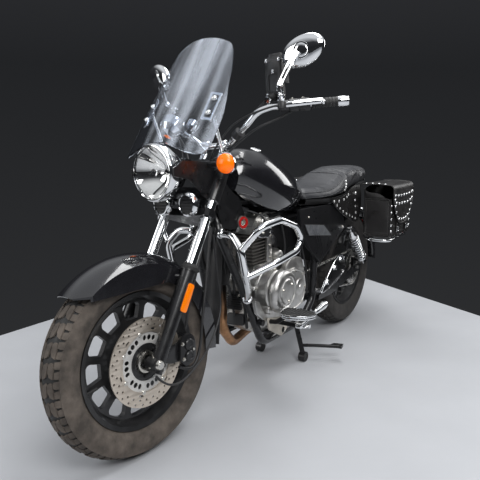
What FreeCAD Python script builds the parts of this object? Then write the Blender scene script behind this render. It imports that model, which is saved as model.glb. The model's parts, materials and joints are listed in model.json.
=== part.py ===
"""Cruiser motorcycle, parked on its centre stand.

Frame of reference: +X forward, +Y to the rider's left, +Z up, millimetres.
The origin lies on the floor, half-way along the machine, on its middle plane.
Fork pieces are built with the wheel pointing straight ahead, then turned together
about the steering axis to the slight lock at which the machine is parked.
"""
import FreeCAD, Part
import math
import os
import types

from FreeCAD import Placement, Rotation, Vector

doc = FreeCAD.newDocument("cruiser_motorcycle")

# ---------------------------------------------------------------- driving sizes
# name, value in millimetres (or degrees), what it is
SIZES = [
    ("wheelbase", 1530, "front axle to rear axle"),
    ("rear_axle_x", -700, "rear axle, from the middle of the machine"),
    ("rake", 31, "steering axis, degrees from upright"),
    ("steer_rest", -7.2, "lock at which the bars rest, degrees to the left"),
    ("rear_lift", 4, "gap under the rear tyre on the stand"),
    ("fit", 0.1, "radial running clearance of pins and bearings"),
    ("seat_gap", 0.3, "gap between soft pieces and what carries them"),
    # wheels and tyres
    ("front_tyre_radius", 302, ""),
    ("front_tyre_width", 110, ""),
    ("front_flange_radius", 213, "rim flange"),
    ("front_rim_half", 40, "half width of the rim"),
    ("rear_tyre_radius", 307, ""),
    ("rear_tyre_width", 130, ""),
    ("rear_flange_radius", 204, "rim flange"),
    ("rear_rim_half", 50, "half width of the rim"),
    ("rim_depth", 26, "flange down to the inner face of the rim"),
    ("bead_depth", 12, "flange down to the bead seat"),
    ("web_half", 9, "half thickness of the cast web"),
    ("hub_radius", 42, ""),
    ("front_hub_half", 52, "half width of the front hub"),
    ("rear_hub_half", 60, "half width of the rear hub"),
    ("axle_radius", 8, ""),
    ("window_count", 12, "openings round the cast web"),
    ("window_inner", 130, "radius where the front openings start"),
    ("window_rib", 22, "web left between two openings"),
    ("tyre_wall", 11, ""),
    # disc brake
    ("disc_radius", 138, ""),
    ("disc_inner", 91, ""),
    ("disc_thick", 4, ""),
    ("disc_y", 65, "middle plane of the disc"),
    ("disc_gap", 5, "disc to the jaws of the calliper"),
    # fork
    ("leg_y", 100, "fork legs, from the middle plane"),
    ("leg_behind", 10, "leg centre line behind the axle, square to the leg"),
    ("axis_behind", 58, "steering axis behind the axle, square to the axis"),
    ("stanchion_radius", 18.5, ""),
    ("slider_radius", 24, ""),
    ("slider_foot", -26, "lower end of the slider along the leg"),
    ("slider_top", 317, "upper end of the slider along the leg"),
    ("slider_bore_depth", 60, "how far the stanchion enters the slider"),
    ("stanchion_top", 712, ""),
    ("lower_clamp_at", 488, "lower clamp, along the steering axis"),
    ("clamp_thick", 26, ""),
    ("head_start", 519, "lower end of the head tube"),
    ("head_end", 681, "upper end of the head tube"),
    ("upper_clamp_at", 686, ""),
    ("stem_radius", 14, ""),
    ("head_radius", 29, ""),
    # frame
    ("main_tube", 16, "radius of the down tubes"),
    ("rail_tube", 13, "radius of the seat rails"),
    ("rail_y", 101.3, "seat rails, from the middle plane"),
    ("chain_y", 78, "middle plane of the chain"),
    ("sprocket_radius", 84, ""),
    ("cradle_y", 102, "lower rails, from the middle plane"),
    ("cradle_z", 190, "height of the lower rails"),
    ("pivot_x", -185, "swingarm pivot"),
    ("pivot_z", 262, "swingarm pivot"),
    ("arm_y", 100, "swingarm arms, from the middle plane"),
    ("arm_thick", 24, ""),
    ("arm_depth", 44, ""),
    # rear suspension
    ("shock_y", 150, ""),
    ("shock_top_x", -494, ""),
    ("shock_top_z", 546, ""),
    ("shock_foot_x", -667, ""),
    ("shock_foot_z", 360, ""),
    ("spring_radius", 27, ""),
    ("spring_wire", 5, "radius of the spring wire"),
    ("spring_turns", 11, ""),
    # fenders
    ("fender_gap", 25, "front tyre tread to the fender"),
    ("front_fender_half", 72, "half width of the front fender"),
    ("front_fender_crown", 30, "rise of its crown"),
    ("front_fender_line", 228, "height of its side edge above the axle"),
    ("front_fender_skirt", 250, "radius of its lower edge behind the fork"),
    ("front_fender_sweep", 140, "degrees"),
    ("rear_fender_gap", 42, "rear tyre tread to the fender"),
    ("rear_fender_half", 88, ""),
    ("rear_fender_skirt", 300, "radius of its lower edge"),
    ("rear_fender_sweep", 112, "degrees"),
    ("sheet", 3, "thickness of pressed panels"),
    # engine
    ("case_half", 66, "half width of the crankcase"),
    ("crank_x", 215, ""),
    ("crank_z", 401, ""),
    ("barrel_x", 190, "middle of the cylinder barrel"),
    ("barrel_side", 112, ""),
    ("barrel_foot", 492, "height at which the barrel starts"),
    ("fin_count", 9, ""),
    ("fin_pitch", 13, ""),
    ("fin_thick", 3.5, ""),
    ("fin_reach", 13, "fin beyond the barrel"),
    ("head_height", 72, ""),
    # tank and seat
    ("tank_half", 145, ""),
    ("tank_tunnel", 46, "half width of the tunnel for the backbone"),
    ("tunnel_top", 790, ""),
    ("cap_radius", 31, ""),
    ("seat_half", 140, ""),
    ("seat_waist", 118, ""),
    ("skirt_y", 135, "studded valance below the seat, from the middle plane"),
    # luggage
    ("bag_front_x", -568, ""),
    ("bag_length", 300, ""),
    ("bag_inner_y", 184, ""),
    ("bag_width", 146, ""),
    ("bag_floor_z", 498, ""),
    ("bag_height", 256, ""),
    ("bag_wall", 4, ""),
    ("bag_corner", 28, ""),
    ("lid_thick", 6, ""),
    ("lid_gap", 6, "lid to bag"),
    ("lid_drop", 176, "how far the flap hangs down the outer side"),
    ("rail_radius", 8, "rail under the bag"),
    # controls
    ("bar_radius", 11, ""),
    ("grip_radius", 17, ""),
    ("crash_radius", 12.5, ""),
    ("mirror_half_width", 78, ""),
    ("mirror_half_height", 50, ""),
    # windshield
    ("screen_radius", 380, "radius of its curve"),
    ("screen_thick", 4, ""),
    ("screen_half", 191, ""),
    ("screen_height", 465, "up its slope"),
    ("screen_slope", 35, "degrees from upright"),
    # lamps
    ("lamp_radius", 91, "headlight"),
    ("lamp_x", 704, ""),
    ("lamp_z", 871, ""),
    ("indicator_radius", 36, ""),
    ("indicator_y", 185, ""),
    # centre stand
    ("stand_pivot_x", -110, ""),
    ("stand_pivot_z", 205, ""),
    ("stand_foot_x", -90, ""),
    ("stand_foot_y", 112, ""),
    ("foot_radius", 22, "round foot of the stand"),
    ("stand_tube", 11, ""),
]

sheet = doc.addObject("Spreadsheet::Sheet", "sizes")
for row, (alias, value, note) in enumerate(SIZES, start=1):
    sheet.set(f"A{row}", note)
    sheet.set(f"B{row}", str(value))
    sheet.setAlias(f"B{row}", alias)
doc.recompute()


class Size:
    """A number that remembers the sheet formula it comes from."""

    def __init__(self, value, formula):
        self.value = value
        self.formula = formula

    def __float__(self):
        return float(self.value)

    def __add__(self, other):
        return joined(self, "+", other)

    def __radd__(self, other):
        return joined(other, "+", self)

    def __sub__(self, other):
        return joined(self, "-", other)

    def __rsub__(self, other):
        return joined(other, "-", self)

    def __mul__(self, other):
        return joined(self, "*", other)

    def __rmul__(self, other):
        return joined(other, "*", self)

    def __truediv__(self, other):
        return joined(self, "/", other)

    def __neg__(self):
        return joined(-1, "*", self)


def formula_of(number):
    """The sheet formula of a size, or a plain number as text."""
    return number.formula if isinstance(number, Size) else f"({float(number):.6f})"


def joined(left, sign, right):
    """Arithmetic on sizes: the value and the formula are worked out side by side."""
    a, b = float(left), float(right)
    if sign == "+":
        value = a + b
    elif sign == "-":
        value = a - b
    elif sign == "*":
        value = a * b
    else:
        value = a / b
    return Size(value, f"({formula_of(left)} {sign} {formula_of(right)})")


s = types.SimpleNamespace()
for alias, value, _ in SIZES:
    setattr(s, alias, Size(float(sheet.get(alias)), f"sizes.{alias}"))


# ---------------------------------------------------------------- drawing helpers
def bind(obj, prop, number):
    """Set a property and tie it to the sheet where the number is a size."""
    setattr(obj, prop, float(number))
    if isinstance(number, Size):
        obj.setExpression(prop, number.formula)


SIDE = Rotation(Vector(1, 0, 0), 90)       # a drawing of x and z; its normal is -Y
CROSS = Rotation(Vector(1, 1, 1), 120)     # a drawing of y and z; its normal is +X
PLAN = Rotation()                          # a drawing of x and y; its normal is +Z


def arc_between(a, b, radius):
    """The minor arc from a to b. It bulges to the right of the way when radius > 0."""
    r = abs(radius)
    chord = b - a
    height = math.sqrt(max(r * r - chord.Length ** 2 / 4, 0))
    left = Vector(-chord.y, chord.x, 0).normalize()
    if radius < 0:
        a, b, left = b, a, left * -1
    centre = (a + b) * 0.5 + left * height
    start = math.atan2(a.y - centre.y, a.x - centre.x)
    end = math.atan2(b.y - centre.y, b.x - centre.x)
    if end < start:
        end += 2 * math.pi
    return Part.ArcOfCircle(Part.Circle(centre, Vector(0, 0, 1), r), start, end)


def outline(sketch, corners):
    """Draw a closed outline. A corner is (u, v), or (u, v, radius) when the edge that
    starts there is an arc. Every corner and radius is tied to the sheet."""
    import Sketcher
    points = [Vector(float(c[0]), float(c[1]), 0) for c in corners]
    base = sketch.GeometryCount
    ends = []
    for i, corner in enumerate(corners):
        a, b = points[i], points[(i + 1) % len(points)]
        if len(corner) == 3:
            sketch.addGeometry(arc_between(a, b, float(corner[2])), False)
            ends.append((1, 2) if float(corner[2]) > 0 else (2, 1))
        else:
            sketch.addGeometry(Part.LineSegment(a, b), False)
            ends.append((1, 2))
    count = len(corners)
    for i, corner in enumerate(corners):
        following = (i + 1) % count
        sketch.addConstraint(Sketcher.Constraint(
            "Coincident", base + i, ends[i][1], base + following, ends[following][0]))
        for kind, number in (("DistanceX", corner[0]), ("DistanceY", corner[1])):
            index = sketch.addConstraint(Sketcher.Constraint(
                kind, -1, 1, base + i, ends[i][0], float(number)))
            if isinstance(number, Size):
                sketch.setExpression(f"Constraints[{index}]", number.formula)
        if len(corner) == 3:
            radius = corner[2] if float(corner[2]) > 0 else -corner[2]
            index = sketch.addConstraint(Sketcher.Constraint(
                "Radius", base + i, abs(float(corner[2]))))
            if isinstance(radius, Size):
                sketch.setExpression(f"Constraints[{index}]", radius.formula)
    return sketch


def drawing(name, turn, place, corners):
    """A sketch standing by itself at a place in the model."""
    sketch = doc.addObject("Sketcher::SketchObject", name)
    sketch.Placement = Placement(place, turn)
    return outline(sketch, corners)


def body(name):
    return doc.addObject("PartDesign::Body", name)


def on_plane(owner, name, role, corners, lift=0):
    """A sketch on one of a body's own planes, lifted along the plane's normal."""
    sketch = owner.newObject("Sketcher::SketchObject", name)
    plane = next(f for f in owner.Origin.OriginFeatures if f.Role == role)
    sketch.AttachmentSupport = [(plane, "")]
    sketch.MapMode = "FlatFace"
    sketch.AttachmentOffset = Placement(Vector(0, 0, float(lift)), Rotation())
    return outline(sketch, corners)


def revolve(owner, name, corners, role="YZ_Plane", axis="H_Axis", angle=360, back=False):
    """Turn a profile about an axis of its own drawing."""
    sketch = on_plane(owner, name + "_profile", role, corners)
    feature = owner.newObject("PartDesign::Revolution", name)
    feature.Profile = sketch
    feature.ReferenceAxis = (sketch, [axis])
    bind(feature, "Angle", angle)
    feature.Reversed = back
    return feature


def pad(owner, name, corners, length, role="XZ_Plane", lift=0, middle=True, back=False):
    """Raise an outline into a solid."""
    sketch = on_plane(owner, name + "_outline", role, corners, lift)
    feature = owner.newObject("PartDesign::Pad", name)
    feature.Profile = sketch
    bind(feature, "Length", length)
    if middle:
        feature.SideType = "Symmetric"
    feature.Reversed = back
    return feature


def pocket(owner, name, corners, role="XZ_Plane", length=None, lift=0, back=False):
    """Cut an outline out of a body: right through it, or to a depth."""
    sketch = on_plane(owner, name + "_outline", role, corners, lift)
    feature = owner.newObject("PartDesign::Pocket", name)
    feature.Profile = sketch
    if length is None:
        feature.Type = "ThroughAll"
        feature.SideType = "Symmetric"
    else:
        bind(feature, "Length", length)
        feature.Reversed = back
    return feature


def ring_of(owner, name, feature, count, role):
    """Repeat a feature round one of the body's axes."""
    axis = next(f for f in owner.Origin.OriginFeatures if f.Role == role)
    pattern = owner.newObject("PartDesign::PolarPattern", name)
    pattern.Originals = [feature]
    pattern.Axis = (axis, [""])
    pattern.Angle = 360
    pattern.Occurrences = int(round(float(count)))
    owner.Tip = pattern
    return pattern


def rod(name, radius, start, end):
    """A round bar between two points."""
    bar = doc.addObject("Part::Cylinder", name)
    bind(bar, "Radius", radius)
    bar.Height = (end - start).Length
    bar.Placement = Placement(start, Rotation(Vector(0, 0, 1), end - start))
    return bar


def cross_rod(name, radius, x, z, y_from, y_to):
    """A round bar that lies across the machine."""
    return rod(name, radius, Vector(float(x), float(y_from), float(z)),
               Vector(float(x), float(y_to), float(z)))


def block(name, corner, length, width, height):
    piece = doc.addObject("Part::Box", name)
    bind(piece, "Length", length)
    bind(piece, "Width", width)
    bind(piece, "Height", height)
    piece.Placement = Placement(Vector(*[float(c) for c in corner]), Rotation())
    return piece


def extrude(name, turn, place, corners, length, symmetric=True):
    """A free outline raised into a solid, about its middle or to one side."""
    piece = doc.addObject("Part::Extrusion", name)
    piece.Base = drawing(name + "_outline", turn, place, corners)
    piece.DirMode = "Normal"
    bind(piece, "LengthFwd", length)
    piece.Symmetric = symmetric
    piece.Solid = True
    return piece


def loft(name, sections):
    """A smooth skin through cross sections: a list of (x, corners)."""
    piece = doc.addObject("Part::Loft", name)
    piece.Sections = [drawing(f"{name}_at_{i}", CROSS, Vector(float(x), 0, 0), corners)
                      for i, (x, corners) in enumerate(sections)]
    piece.Solid = True
    return piece


def fuse(name, pieces):
    piece = doc.addObject("Part::MultiFuse", name)
    piece.Shapes = pieces
    return piece


def cut(name, base, tool):
    piece = doc.addObject("Part::Cut", name)
    piece.Base = base
    piece.Tool = tool
    return piece


def common(name, first, second):
    piece = doc.addObject("Part::Common", name)
    piece.Base = first
    piece.Tool = second
    return piece


def mirrored(name, source):
    """The same piece on the other side of the middle plane."""
    piece = doc.addObject("Part::Mirroring", name)
    piece.Source = source
    piece.Normal = Vector(0, 1, 0)
    return piece


def pair(name, source):
    """A piece and its mirror image, as two separate solids."""
    piece = doc.addObject("Part::Compound", name)
    piece.Links = [source, mirrored(name + "_right", source)]
    return piece


def together(name, pieces):
    piece = doc.addObject("Part::Compound", name)
    piece.Links = pieces
    return piece


def tube(name, points, radius, bend=None):
    """A bent bar: straight runs joined by tangent arcs. Without a bend radius, each
    arc is as large as its two runs allow."""
    radius = float(radius)
    edges = []
    start = points[0]
    for before, corner, after in zip(points, points[1:], points[2:]):
        back, ahead = before - corner, after - corner
        half = (math.pi - back.getAngle(ahead)) / 2
        room = 0.45 * min(back.Length, ahead.Length)
        reach = room if bend is None else min(room, bend * math.tan(half))
        one = corner + back.normalize() * reach
        two = corner + ahead.normalize() * reach
        across = (one + two) * 0.5 - corner
        arc_radius = reach / math.tan(half)
        middle = corner + across.normalize() * (arc_radius / math.cos(half) - arc_radius)
        edges.append(Part.LineSegment(start, one).toShape())
        edges.append(Part.Arc(one, middle, two).toShape())
        start = two
    edges.append(Part.LineSegment(start, points[-1]).toShape())
    path = Part.Wire(edges)
    ring = Part.Wire(Part.Circle(points[0], points[1] - points[0], radius).toShape())
    piece = doc.addObject("Part::Feature", name)
    piece.Shape = path.makePipeShell([ring], True, False)
    return piece


NODES = []


def node(piece, name, place=None):
    """Name a finished sub-part. Its label names its file."""
    piece.Label = name
    if place is not None:
        piece.Placement = place.multiply(piece.Placement)
    NODES.append(piece)
    return piece


# ---------------------------------------------------------------- main places
front_x = float(s.rear_axle_x + s.wheelbase)
front_z = float(s.front_tyre_radius)
rear_x = float(s.rear_axle_x)
rear_z = float(s.rear_tyre_radius + s.rear_lift)
rake = math.radians(float(s.rake))
UP_FORK = Vector(-math.sin(rake), 0, math.cos(rake))
AHEAD = Vector(math.cos(rake), 0, math.sin(rake))
FRONT_AXLE = Vector(front_x, 0, front_z)
FORK_TURN = Rotation(Vector(0, 1, 0), -float(s.rake))   # local z up the fork, x ahead


def on_fork(along, ahead, y=0):
    """A point given along the fork from the axle, ahead of the axle, and sideways."""
    return FRONT_AXLE + UP_FORK * float(along) + AHEAD * float(ahead) + Vector(0, float(y), 0)


def steered():
    """The turn of the whole fork from straight ahead to its parked lock."""
    return Placement(Vector(), Rotation(UP_FORK, float(s.steer_rest)),
                     on_fork(0, -s.axis_behind))


def at(x, y, z):
    return Vector(float(x), float(y), float(z))


# ---------------------------------------------------------------- wheels
def wheel_rim(name, flange, rim_half, hub_half, inner, place):
    """Cast wheel: hub, thin web with openings, rim with a well for the bead."""
    ring = flange - s.rim_depth
    seat = flange - s.bead_depth
    half = [
        (hub_half, s.axle_radius + s.fit),
        (hub_half, s.hub_radius),
        (s.web_half, s.hub_radius + 12),
        (s.web_half, ring - 4),
        (rim_half - 4, ring + 12),
        (rim_half, flange),
        (rim_half - 5, flange),
        (rim_half - 8, seat),
        (rim_half - 24, seat - 3),
        (rim_half - 28, ring + 6),
    ]
    other = [(-y, r) for y, r in reversed(half)]
    wheel = body(name)
    revolve(wheel, name + "_turned", half + other)
    outer = ring - 10
    share = math.pi / float(s.window_count)
    round_off = 13
    half_inner = inner * math.sin(share) - s.window_rib / 2
    half_outer = outer * math.sin(share) - s.window_rib / 2
    x_inner, x_outer = inner * math.cos(share), outer * math.cos(share)
    lean = (float(half_outer) - float(half_inner)) / (float(x_outer) - float(x_inner))
    side_end = (x_outer - round_off, half_outer - round_off * lean)
    top_half = half_outer - round_off
    top = math.sqrt(float(outer) ** 2 - float(top_half) ** 2)
    corners = [
        (x_inner + 5, half_inner + 5 * lean),
        side_end + (-(round_off + 2),), (top, top_half, -outer),
        (top, -top_half, -(round_off + 2)), (side_end[0], -side_end[1]),
        (x_inner + 5, -(half_inner + 5 * lean), -6),
        (x_inner, 5 - half_inner), (x_inner, half_inner - 5, -6),
    ]
    window = pocket(wheel, name + "_window", corners)
    ring_of(wheel, name + "_windows", window, s.window_count, "Y_Axis")
    return node(wheel, name, place)


def tyre(name, outer, width, flange, rim_half, place):
    """Tyre: round crown, bulging side walls, beads on the rim."""
    seat = flange - s.bead_depth
    bead_in = rim_half - 20
    bead_out = rim_half - 8.4
    shoulder = width * 0.36
    rise = 14
    crown = outer - rise
    crown_arc = (shoulder * shoulder + rise * rise) / (2 * rise)
    middle = (outer + flange) / 2
    half = width / 2
    profile = [
        (bead_out, seat + s.seat_gap),
        (rim_half - 5.4, flange + 1),
        (rim_half, flange + 5, 60),
        (half, middle, 90),
        (shoulder, crown, crown_arc),
        (-shoulder, crown, 90),
        (-half, middle, 60),
        (-rim_half, flange + 5),
        (-(rim_half - 5.4), flange + 1),
        (-bead_out, seat + s.seat_gap),
        (-bead_in, seat + s.seat_gap),
        (-(half - s.tyre_wall), middle),
        (-(shoulder - 6), crown - s.tyre_wall),
        (shoulder - 6, crown - s.tyre_wall),
        (half - s.tyre_wall, middle),
        (bead_in, seat + s.seat_gap),
    ]
    ring = body(name)
    revolve(ring, name + "_turned", profile)
    return node(ring, name, place)


front_wheel_place = Placement(FRONT_AXLE, Rotation())
rear_wheel_place = Placement(at(rear_x, 0, rear_z), Rotation())

wheel_rim("front_rim", s.front_flange_radius, s.front_rim_half, s.front_hub_half,
          s.window_inner, steered().multiply(front_wheel_place))
tyre("front_tyre", s.front_tyre_radius, s.front_tyre_width, s.front_flange_radius,
     s.front_rim_half, steered().multiply(front_wheel_place))
wheel_rim("rear_rim", s.rear_flange_radius, s.rear_rim_half, s.rear_hub_half,
          s.window_inner - 14, rear_wheel_place)
tyre("rear_tyre", s.rear_tyre_radius, s.rear_tyre_width, s.rear_flange_radius,
     s.rear_rim_half, rear_wheel_place)


def brake_disc():
    """Disc with a carrier that bolts to the left face of the front hub."""
    disc = body("brake_disc_body")
    face = s.disc_thick / 2
    hub = s.front_hub_half
    revolve(disc, "disc_turned", [
        (s.disc_y - face, s.disc_inner - 4),
        (s.disc_y - face, s.disc_radius),
        (s.disc_y + face, s.disc_radius),
        (s.disc_y + face, s.disc_inner),
        (s.disc_y + face - 1.5, s.disc_inner - 2),
        (hub + 7, 54), (hub + 7, 35), (hub + 14, 33), (hub + 16, 28), (hub + 16, 20),
        (hub, 20), (hub, 46),
    ])
    slot = pocket(disc, "carrier_slot", [(60, -16), (77, -21, -77), (77, 21), (60, 16, 60)])
    ring_of(disc, "carrier_slots", slot, 7, "Y_Axis")
    return node(disc, "brake_disc", steered().multiply(front_wheel_place))


brake_disc()


def rear_sprocket():
    """Chain wheel on the left face of the rear hub."""
    wheel = body("rear_sprocket_body")
    revolve(wheel, "sprocket_turned", [
        (s.rear_hub_half, 26), (s.rear_hub_half, 40), (s.chain_y - 3, 40),
        (s.chain_y - 3, s.sprocket_radius), (s.chain_y + 3, s.sprocket_radius),
        (s.chain_y + 3, 26),
    ])
    hole = pocket(wheel, "sprocket_hole", [(48, -9), (70, -15), (70, 15), (48, 9)])
    ring_of(wheel, "sprocket_holes", hole, 6, "Y_Axis")
    return node(wheel, "rear_sprocket", rear_wheel_place)


rear_sprocket()


# ---------------------------------------------------------------- fork
def leg_point(along, y=None):
    return on_fork(along, -s.leg_behind, s.leg_y if y is None else y)


def fork():
    """Sliders, stanchions, the two clamps with their stem, and the front axle."""
    axle_at = [at(front_x, side * 130, front_z) for side in (-1, 1)]
    node(rod("front_axle_rod", s.axle_radius, axle_at[0], axle_at[1]), "front_axle", steered())

    slider = rod("slider_tube", s.slider_radius, leg_point(s.slider_foot), leg_point(s.slider_top))
    boss = cross_rod("slider_boss", 21, front_x, front_z, s.leg_y - 20, s.leg_y + 20)
    dust_cap = rod("dust_cap", s.slider_radius + 3, leg_point(s.slider_top - 16),
                   leg_point(s.slider_top - 2))
    solid = fuse("slider_solid", [slider, boss, dust_cap])
    hole = cross_rod("slider_axle_hole", s.axle_radius + s.fit, front_x, front_z, 60, 140)
    bore = rod("slider_bore", s.stanchion_radius + s.fit,
               leg_point(s.slider_top - s.slider_bore_depth), leg_point(s.slider_top + 5))
    left = cut("slider_left", solid, fuse("slider_holes", [hole, bore]))
    node(pair("sliders", left), "fork_sliders", steered())

    stanchion = rod("stanchion_left", s.stanchion_radius,
                    leg_point(s.slider_top - s.slider_bore_depth + 2), leg_point(s.stanchion_top))
    node(pair("stanchions", stanchion), "fork_stanchions", steered())

    legs_ahead = s.axis_behind - s.leg_behind
    parts = []
    for name, start, thick in (("lower", s.lower_clamp_at, s.clamp_thick),
                               ("upper", s.upper_clamp_at, s.clamp_thick - 6)):
        plate = body(name + "_clamp_plate")
        reach = s.leg_y + s.stanchion_radius + 9
        pad(plate, name + "_clamp_pad", [
            (-26, -24), (-26, 24), (legs_ahead - 22, reach - 16), (legs_ahead - 8, reach),
            (legs_ahead + 22, reach), (legs_ahead + 28, reach - 14), (legs_ahead + 12, 40),
            (legs_ahead + 12, -40), (legs_ahead + 28, 14 - reach), (legs_ahead + 22, -reach),
            (legs_ahead - 8, -reach), (legs_ahead - 22, 16 - reach),
        ], thick, role="XY_Plane", middle=False)
        plate.Placement = Placement(on_fork(start, -s.axis_behind), FORK_TURN)
        parts.append(plate)
    parts.append(rod("steering_stem", s.stem_radius, on_fork(s.lower_clamp_at + 2, -s.axis_behind),
                     on_fork(s.upper_clamp_at + 26, -s.axis_behind)))
    holes = [rod(f"clamp_hole_{i}", s.stanchion_radius + s.fit, leg_point(440, y), leg_point(780, y))
             for i, y in enumerate((s.leg_y, -s.leg_y))]
    clamps = cut("clamps_cut", fuse("clamps_solid", parts), fuse("clamp_holes", holes))
    node(clamps, "fork_clamps", steered())


fork()


def front_fender():
    """Deep pressed fender: crowned top, side skirts, carried by lugs on the sliders."""
    half, crown = s.front_fender_half, s.front_fender_crown
    top = s.front_tyre_radius + s.fender_gap + s.sheet
    shoulder = top - crown
    inner_half = half - s.sheet
    arc_out = (half * half + crown * crown) / (2 * crown)
    arc_in = (inner_half * inner_half + crown * crown) / (2 * crown)
    low = s.front_fender_skirt - 60
    skin = body("front_fender_skin")
    revolve(skin, "fender_turned", [
        (half, low), (half, shoulder, arc_out), (-half, shoulder), (-half, low),
        (-inner_half, low), (-inner_half, shoulder - s.sheet, -arc_in),
        (inner_half, shoulder - s.sheet), (inner_half, low),
    ], angle=s.front_fender_sweep, back=True)
    skin.Placement = Placement(FRONT_AXLE, Rotation(Vector(0, 1, 0), 42))
    skirt = float(s.front_fender_skirt)
    line = float(s.front_fender_line)
    meet = -math.sqrt(skirt ** 2 - line ** 2)
    rear_angle = math.radians(191)
    rear = (skirt * math.cos(rear_angle), skirt * math.sin(rear_angle))
    trim = extrude("fender_trim", SIDE, FRONT_AXLE, [
        (400, line), (400, -420), (rear[0], -420), (rear[0], rear[1], -s.front_fender_skirt),
        (meet, line),
    ], 400)
    lug_at = leg_point(278)
    lug = cross_rod("fender_lug", 15, lug_at.x, lug_at.z, half - 1, s.leg_y - 8)
    bite = rod("fender_lug_bite", s.slider_radius + s.fit, leg_point(150), leg_point(330))
    left_lug = cut("fender_lug_left", lug, bite)
    right_lug = mirrored("fender_lug_right", left_lug)
    plan = extrude("fender_plan", PLAN, at(front_x - 830, 0, 0), [
        (1054, -20, 40), (1054, 20, 110), (996, 76), (380, 95), (380, -95), (996, -76, 110),
    ], 900, symmetric=False)
    shell = common("fender_pointed", cut("front_fender_trimmed", skin, trim), plan)
    node(fuse("front_fender_solid", [shell, left_lug, right_lug]), "front_fender", steered())


front_fender()


def brake_calliper():
    """Calliper behind the left leg, with a slot for the disc and a lug to the slider."""
    mid = at(front_x - 132, 0, front_z + 4)
    block_ = extrude("calliper_block", SIDE, Vector(mid.x, 72, mid.z), [
        (-34, -40), (-30, 40), (-6, 52), (24, 40), (30, -34), (6, -50),
    ], 62)
    slot_half = s.disc_thick / 2 + s.disc_gap
    slot = block("calliper_slot", (mid.x - 22, s.disc_y - slot_half, mid.z - 70),
                 140, slot_half * 2, 140)
    arm = extrude("calliper_arm", SIDE, Vector(mid.x, 92, mid.z), [
        (10, -34), (10, 34), (110, 26), (124, 0), (110, -22),
    ], 12)
    bite = rod("calliper_arm_bite", s.slider_radius + s.fit, leg_point(-60), leg_point(200))
    bite_boss = cross_rod("calliper_arm_boss_bite", 21.2, front_x, front_z, 70, 130)
    arm_cut = cut("calliper_arm_cut", arm, fuse("calliper_arm_bites", [bite, bite_boss]))
    node(fuse("calliper_solid", [cut("calliper_slotted", block_, slot), arm_cut]),
         "brake_calliper", steered())


brake_calliper()


def lamp_bracket():
    """Bracket round both stanchions that carries headlight, horns and indicators."""
    parts = []
    for side in (1, -1):
        y = s.leg_y * side
        parts.append(rod(f"bracket_ring_{side}", s.stanchion_radius + 7, leg_point(548, y),
                         leg_point(652, y)))
        ear = extrude(f"bracket_ear_{side}", SIDE, Vector(0, side * (float(s.lamp_radius) + 8), 0), [
            (526, 792), (498, 852), (520, 896), (660, 905), (702, 884), (702, 858), (640, 846),
            (590, 800),
        ], 6)
        parts.append(ear)
        parts.append(cross_rod(f"bracket_boss_{side}", 8, s.lamp_x - 15, s.lamp_z,
                               side * (float(s.lamp_radius) + 0.1),
                               side * (float(s.lamp_radius) + 6)))
        stem_at = on_fork(650, 60)
        parts.append(cross_rod(f"bracket_stem_{side}", 9, stem_at.x, stem_at.z, side * 90,
                               side * 148))
        parts.append(block(f"horn_tab_{side}", (576, side * 62 - 12, 752), 10, 24, 40))
    low, high = on_fork(548, 10), on_fork(572, 10)
    parts.append(extrude("bracket_bridge", SIDE, Vector(0, 0, 0), [
        (low.x, low.z), (low.x + 34, low.z + 20), (high.x + 34, high.z + 20), (high.x, high.z),
    ], 190))
    holes = [rod(f"bracket_hole_{i}", s.stanchion_radius + s.fit, leg_point(500, y),
                 leg_point(700, y)) for i, y in enumerate((s.leg_y, -s.leg_y))]
    node(cut("lamp_bracket_cut", fuse("lamp_bracket_solid", parts), fuse("bracket_holes", holes)),
         "lamp_bracket", steered())


lamp_bracket()


def headlight():
    """Round shell, open at the front, and the clear lens that closes it."""
    r = s.lamp_radius
    wall = s.sheet
    shell = body("headlight_shell_body")
    revolve(shell, "shell_turned", [
        (-4, r - 6), (-4, r), (-26, r), (-30, r - 6), (-70, r - 20, 90), (-112, 24),
        (-112, 0), (-109, 0), (-109, 22), (-69, r - 23, -88), (-28, r - 9), (-8, r - 8),
    ], role="XY_Plane", axis="H_Axis")
    place = Placement(at(s.lamp_x, 0, s.lamp_z), Rotation())
    node(shell, "headlight_shell", steered().multiply(place))
    lens = body("headlight_lens_body")
    edge, inside = r - 7, r - 8.4
    revolve(lens, "lens_turned", [
        (6, 0), (10, 0, (edge * edge + 13.7 * 13.7) / 27.4), (-3.7, edge),
        (-7, inside, (inside * inside + 169) / -26),
    ], role="XY_Plane", axis="H_Axis")
    node(lens, "headlight_lens", steered().multiply(place))


headlight()


def turned(name, corners, centre, direction):
    """A piece turned about its own axis; its drawing is (along the axis, radius)."""
    piece = body(name)
    revolve(piece, name + "_turned", corners, role="XY_Plane", axis="H_Axis")
    piece.Placement = Placement(centre, Rotation(Vector(1, 0, 0), direction))
    return piece


def front_indicators():
    r = s.indicator_radius
    centre = on_fork(650, 60, s.indicator_y)
    pod = turned("indicator_pod", [
        (34, 0), (34, r - 10), (26, r - 2), (12, r), (0, r), (-20, r - 10), (-32, 12), (-34, 0),
    ], centre, Vector(1, 0, 0))
    stem = cross_rod("indicator_stem", 7, centre.x, centre.z, 148.2, s.indicator_y - 20)
    node(pair("front_indicator_pair", fuse("indicator_solid", [pod, stem])),
         "front_indicators", steered())


front_indicators()


def horns():
    """Two horns with a domed front, one each side below the headlight."""
    centre = at(610, 62, 762)
    horn = turned("horn_left", [
        (14, 0), (14, 28), (8, 39), (-6, 40), (-12, 34), (-20, 30), (-20, 12), (-23.8, 12),
        (-23.8, 0),
    ], centre, Vector(1, 0, 0))
    node(pair("horn_pair", horn), "horns", steered())


horns()


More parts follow.
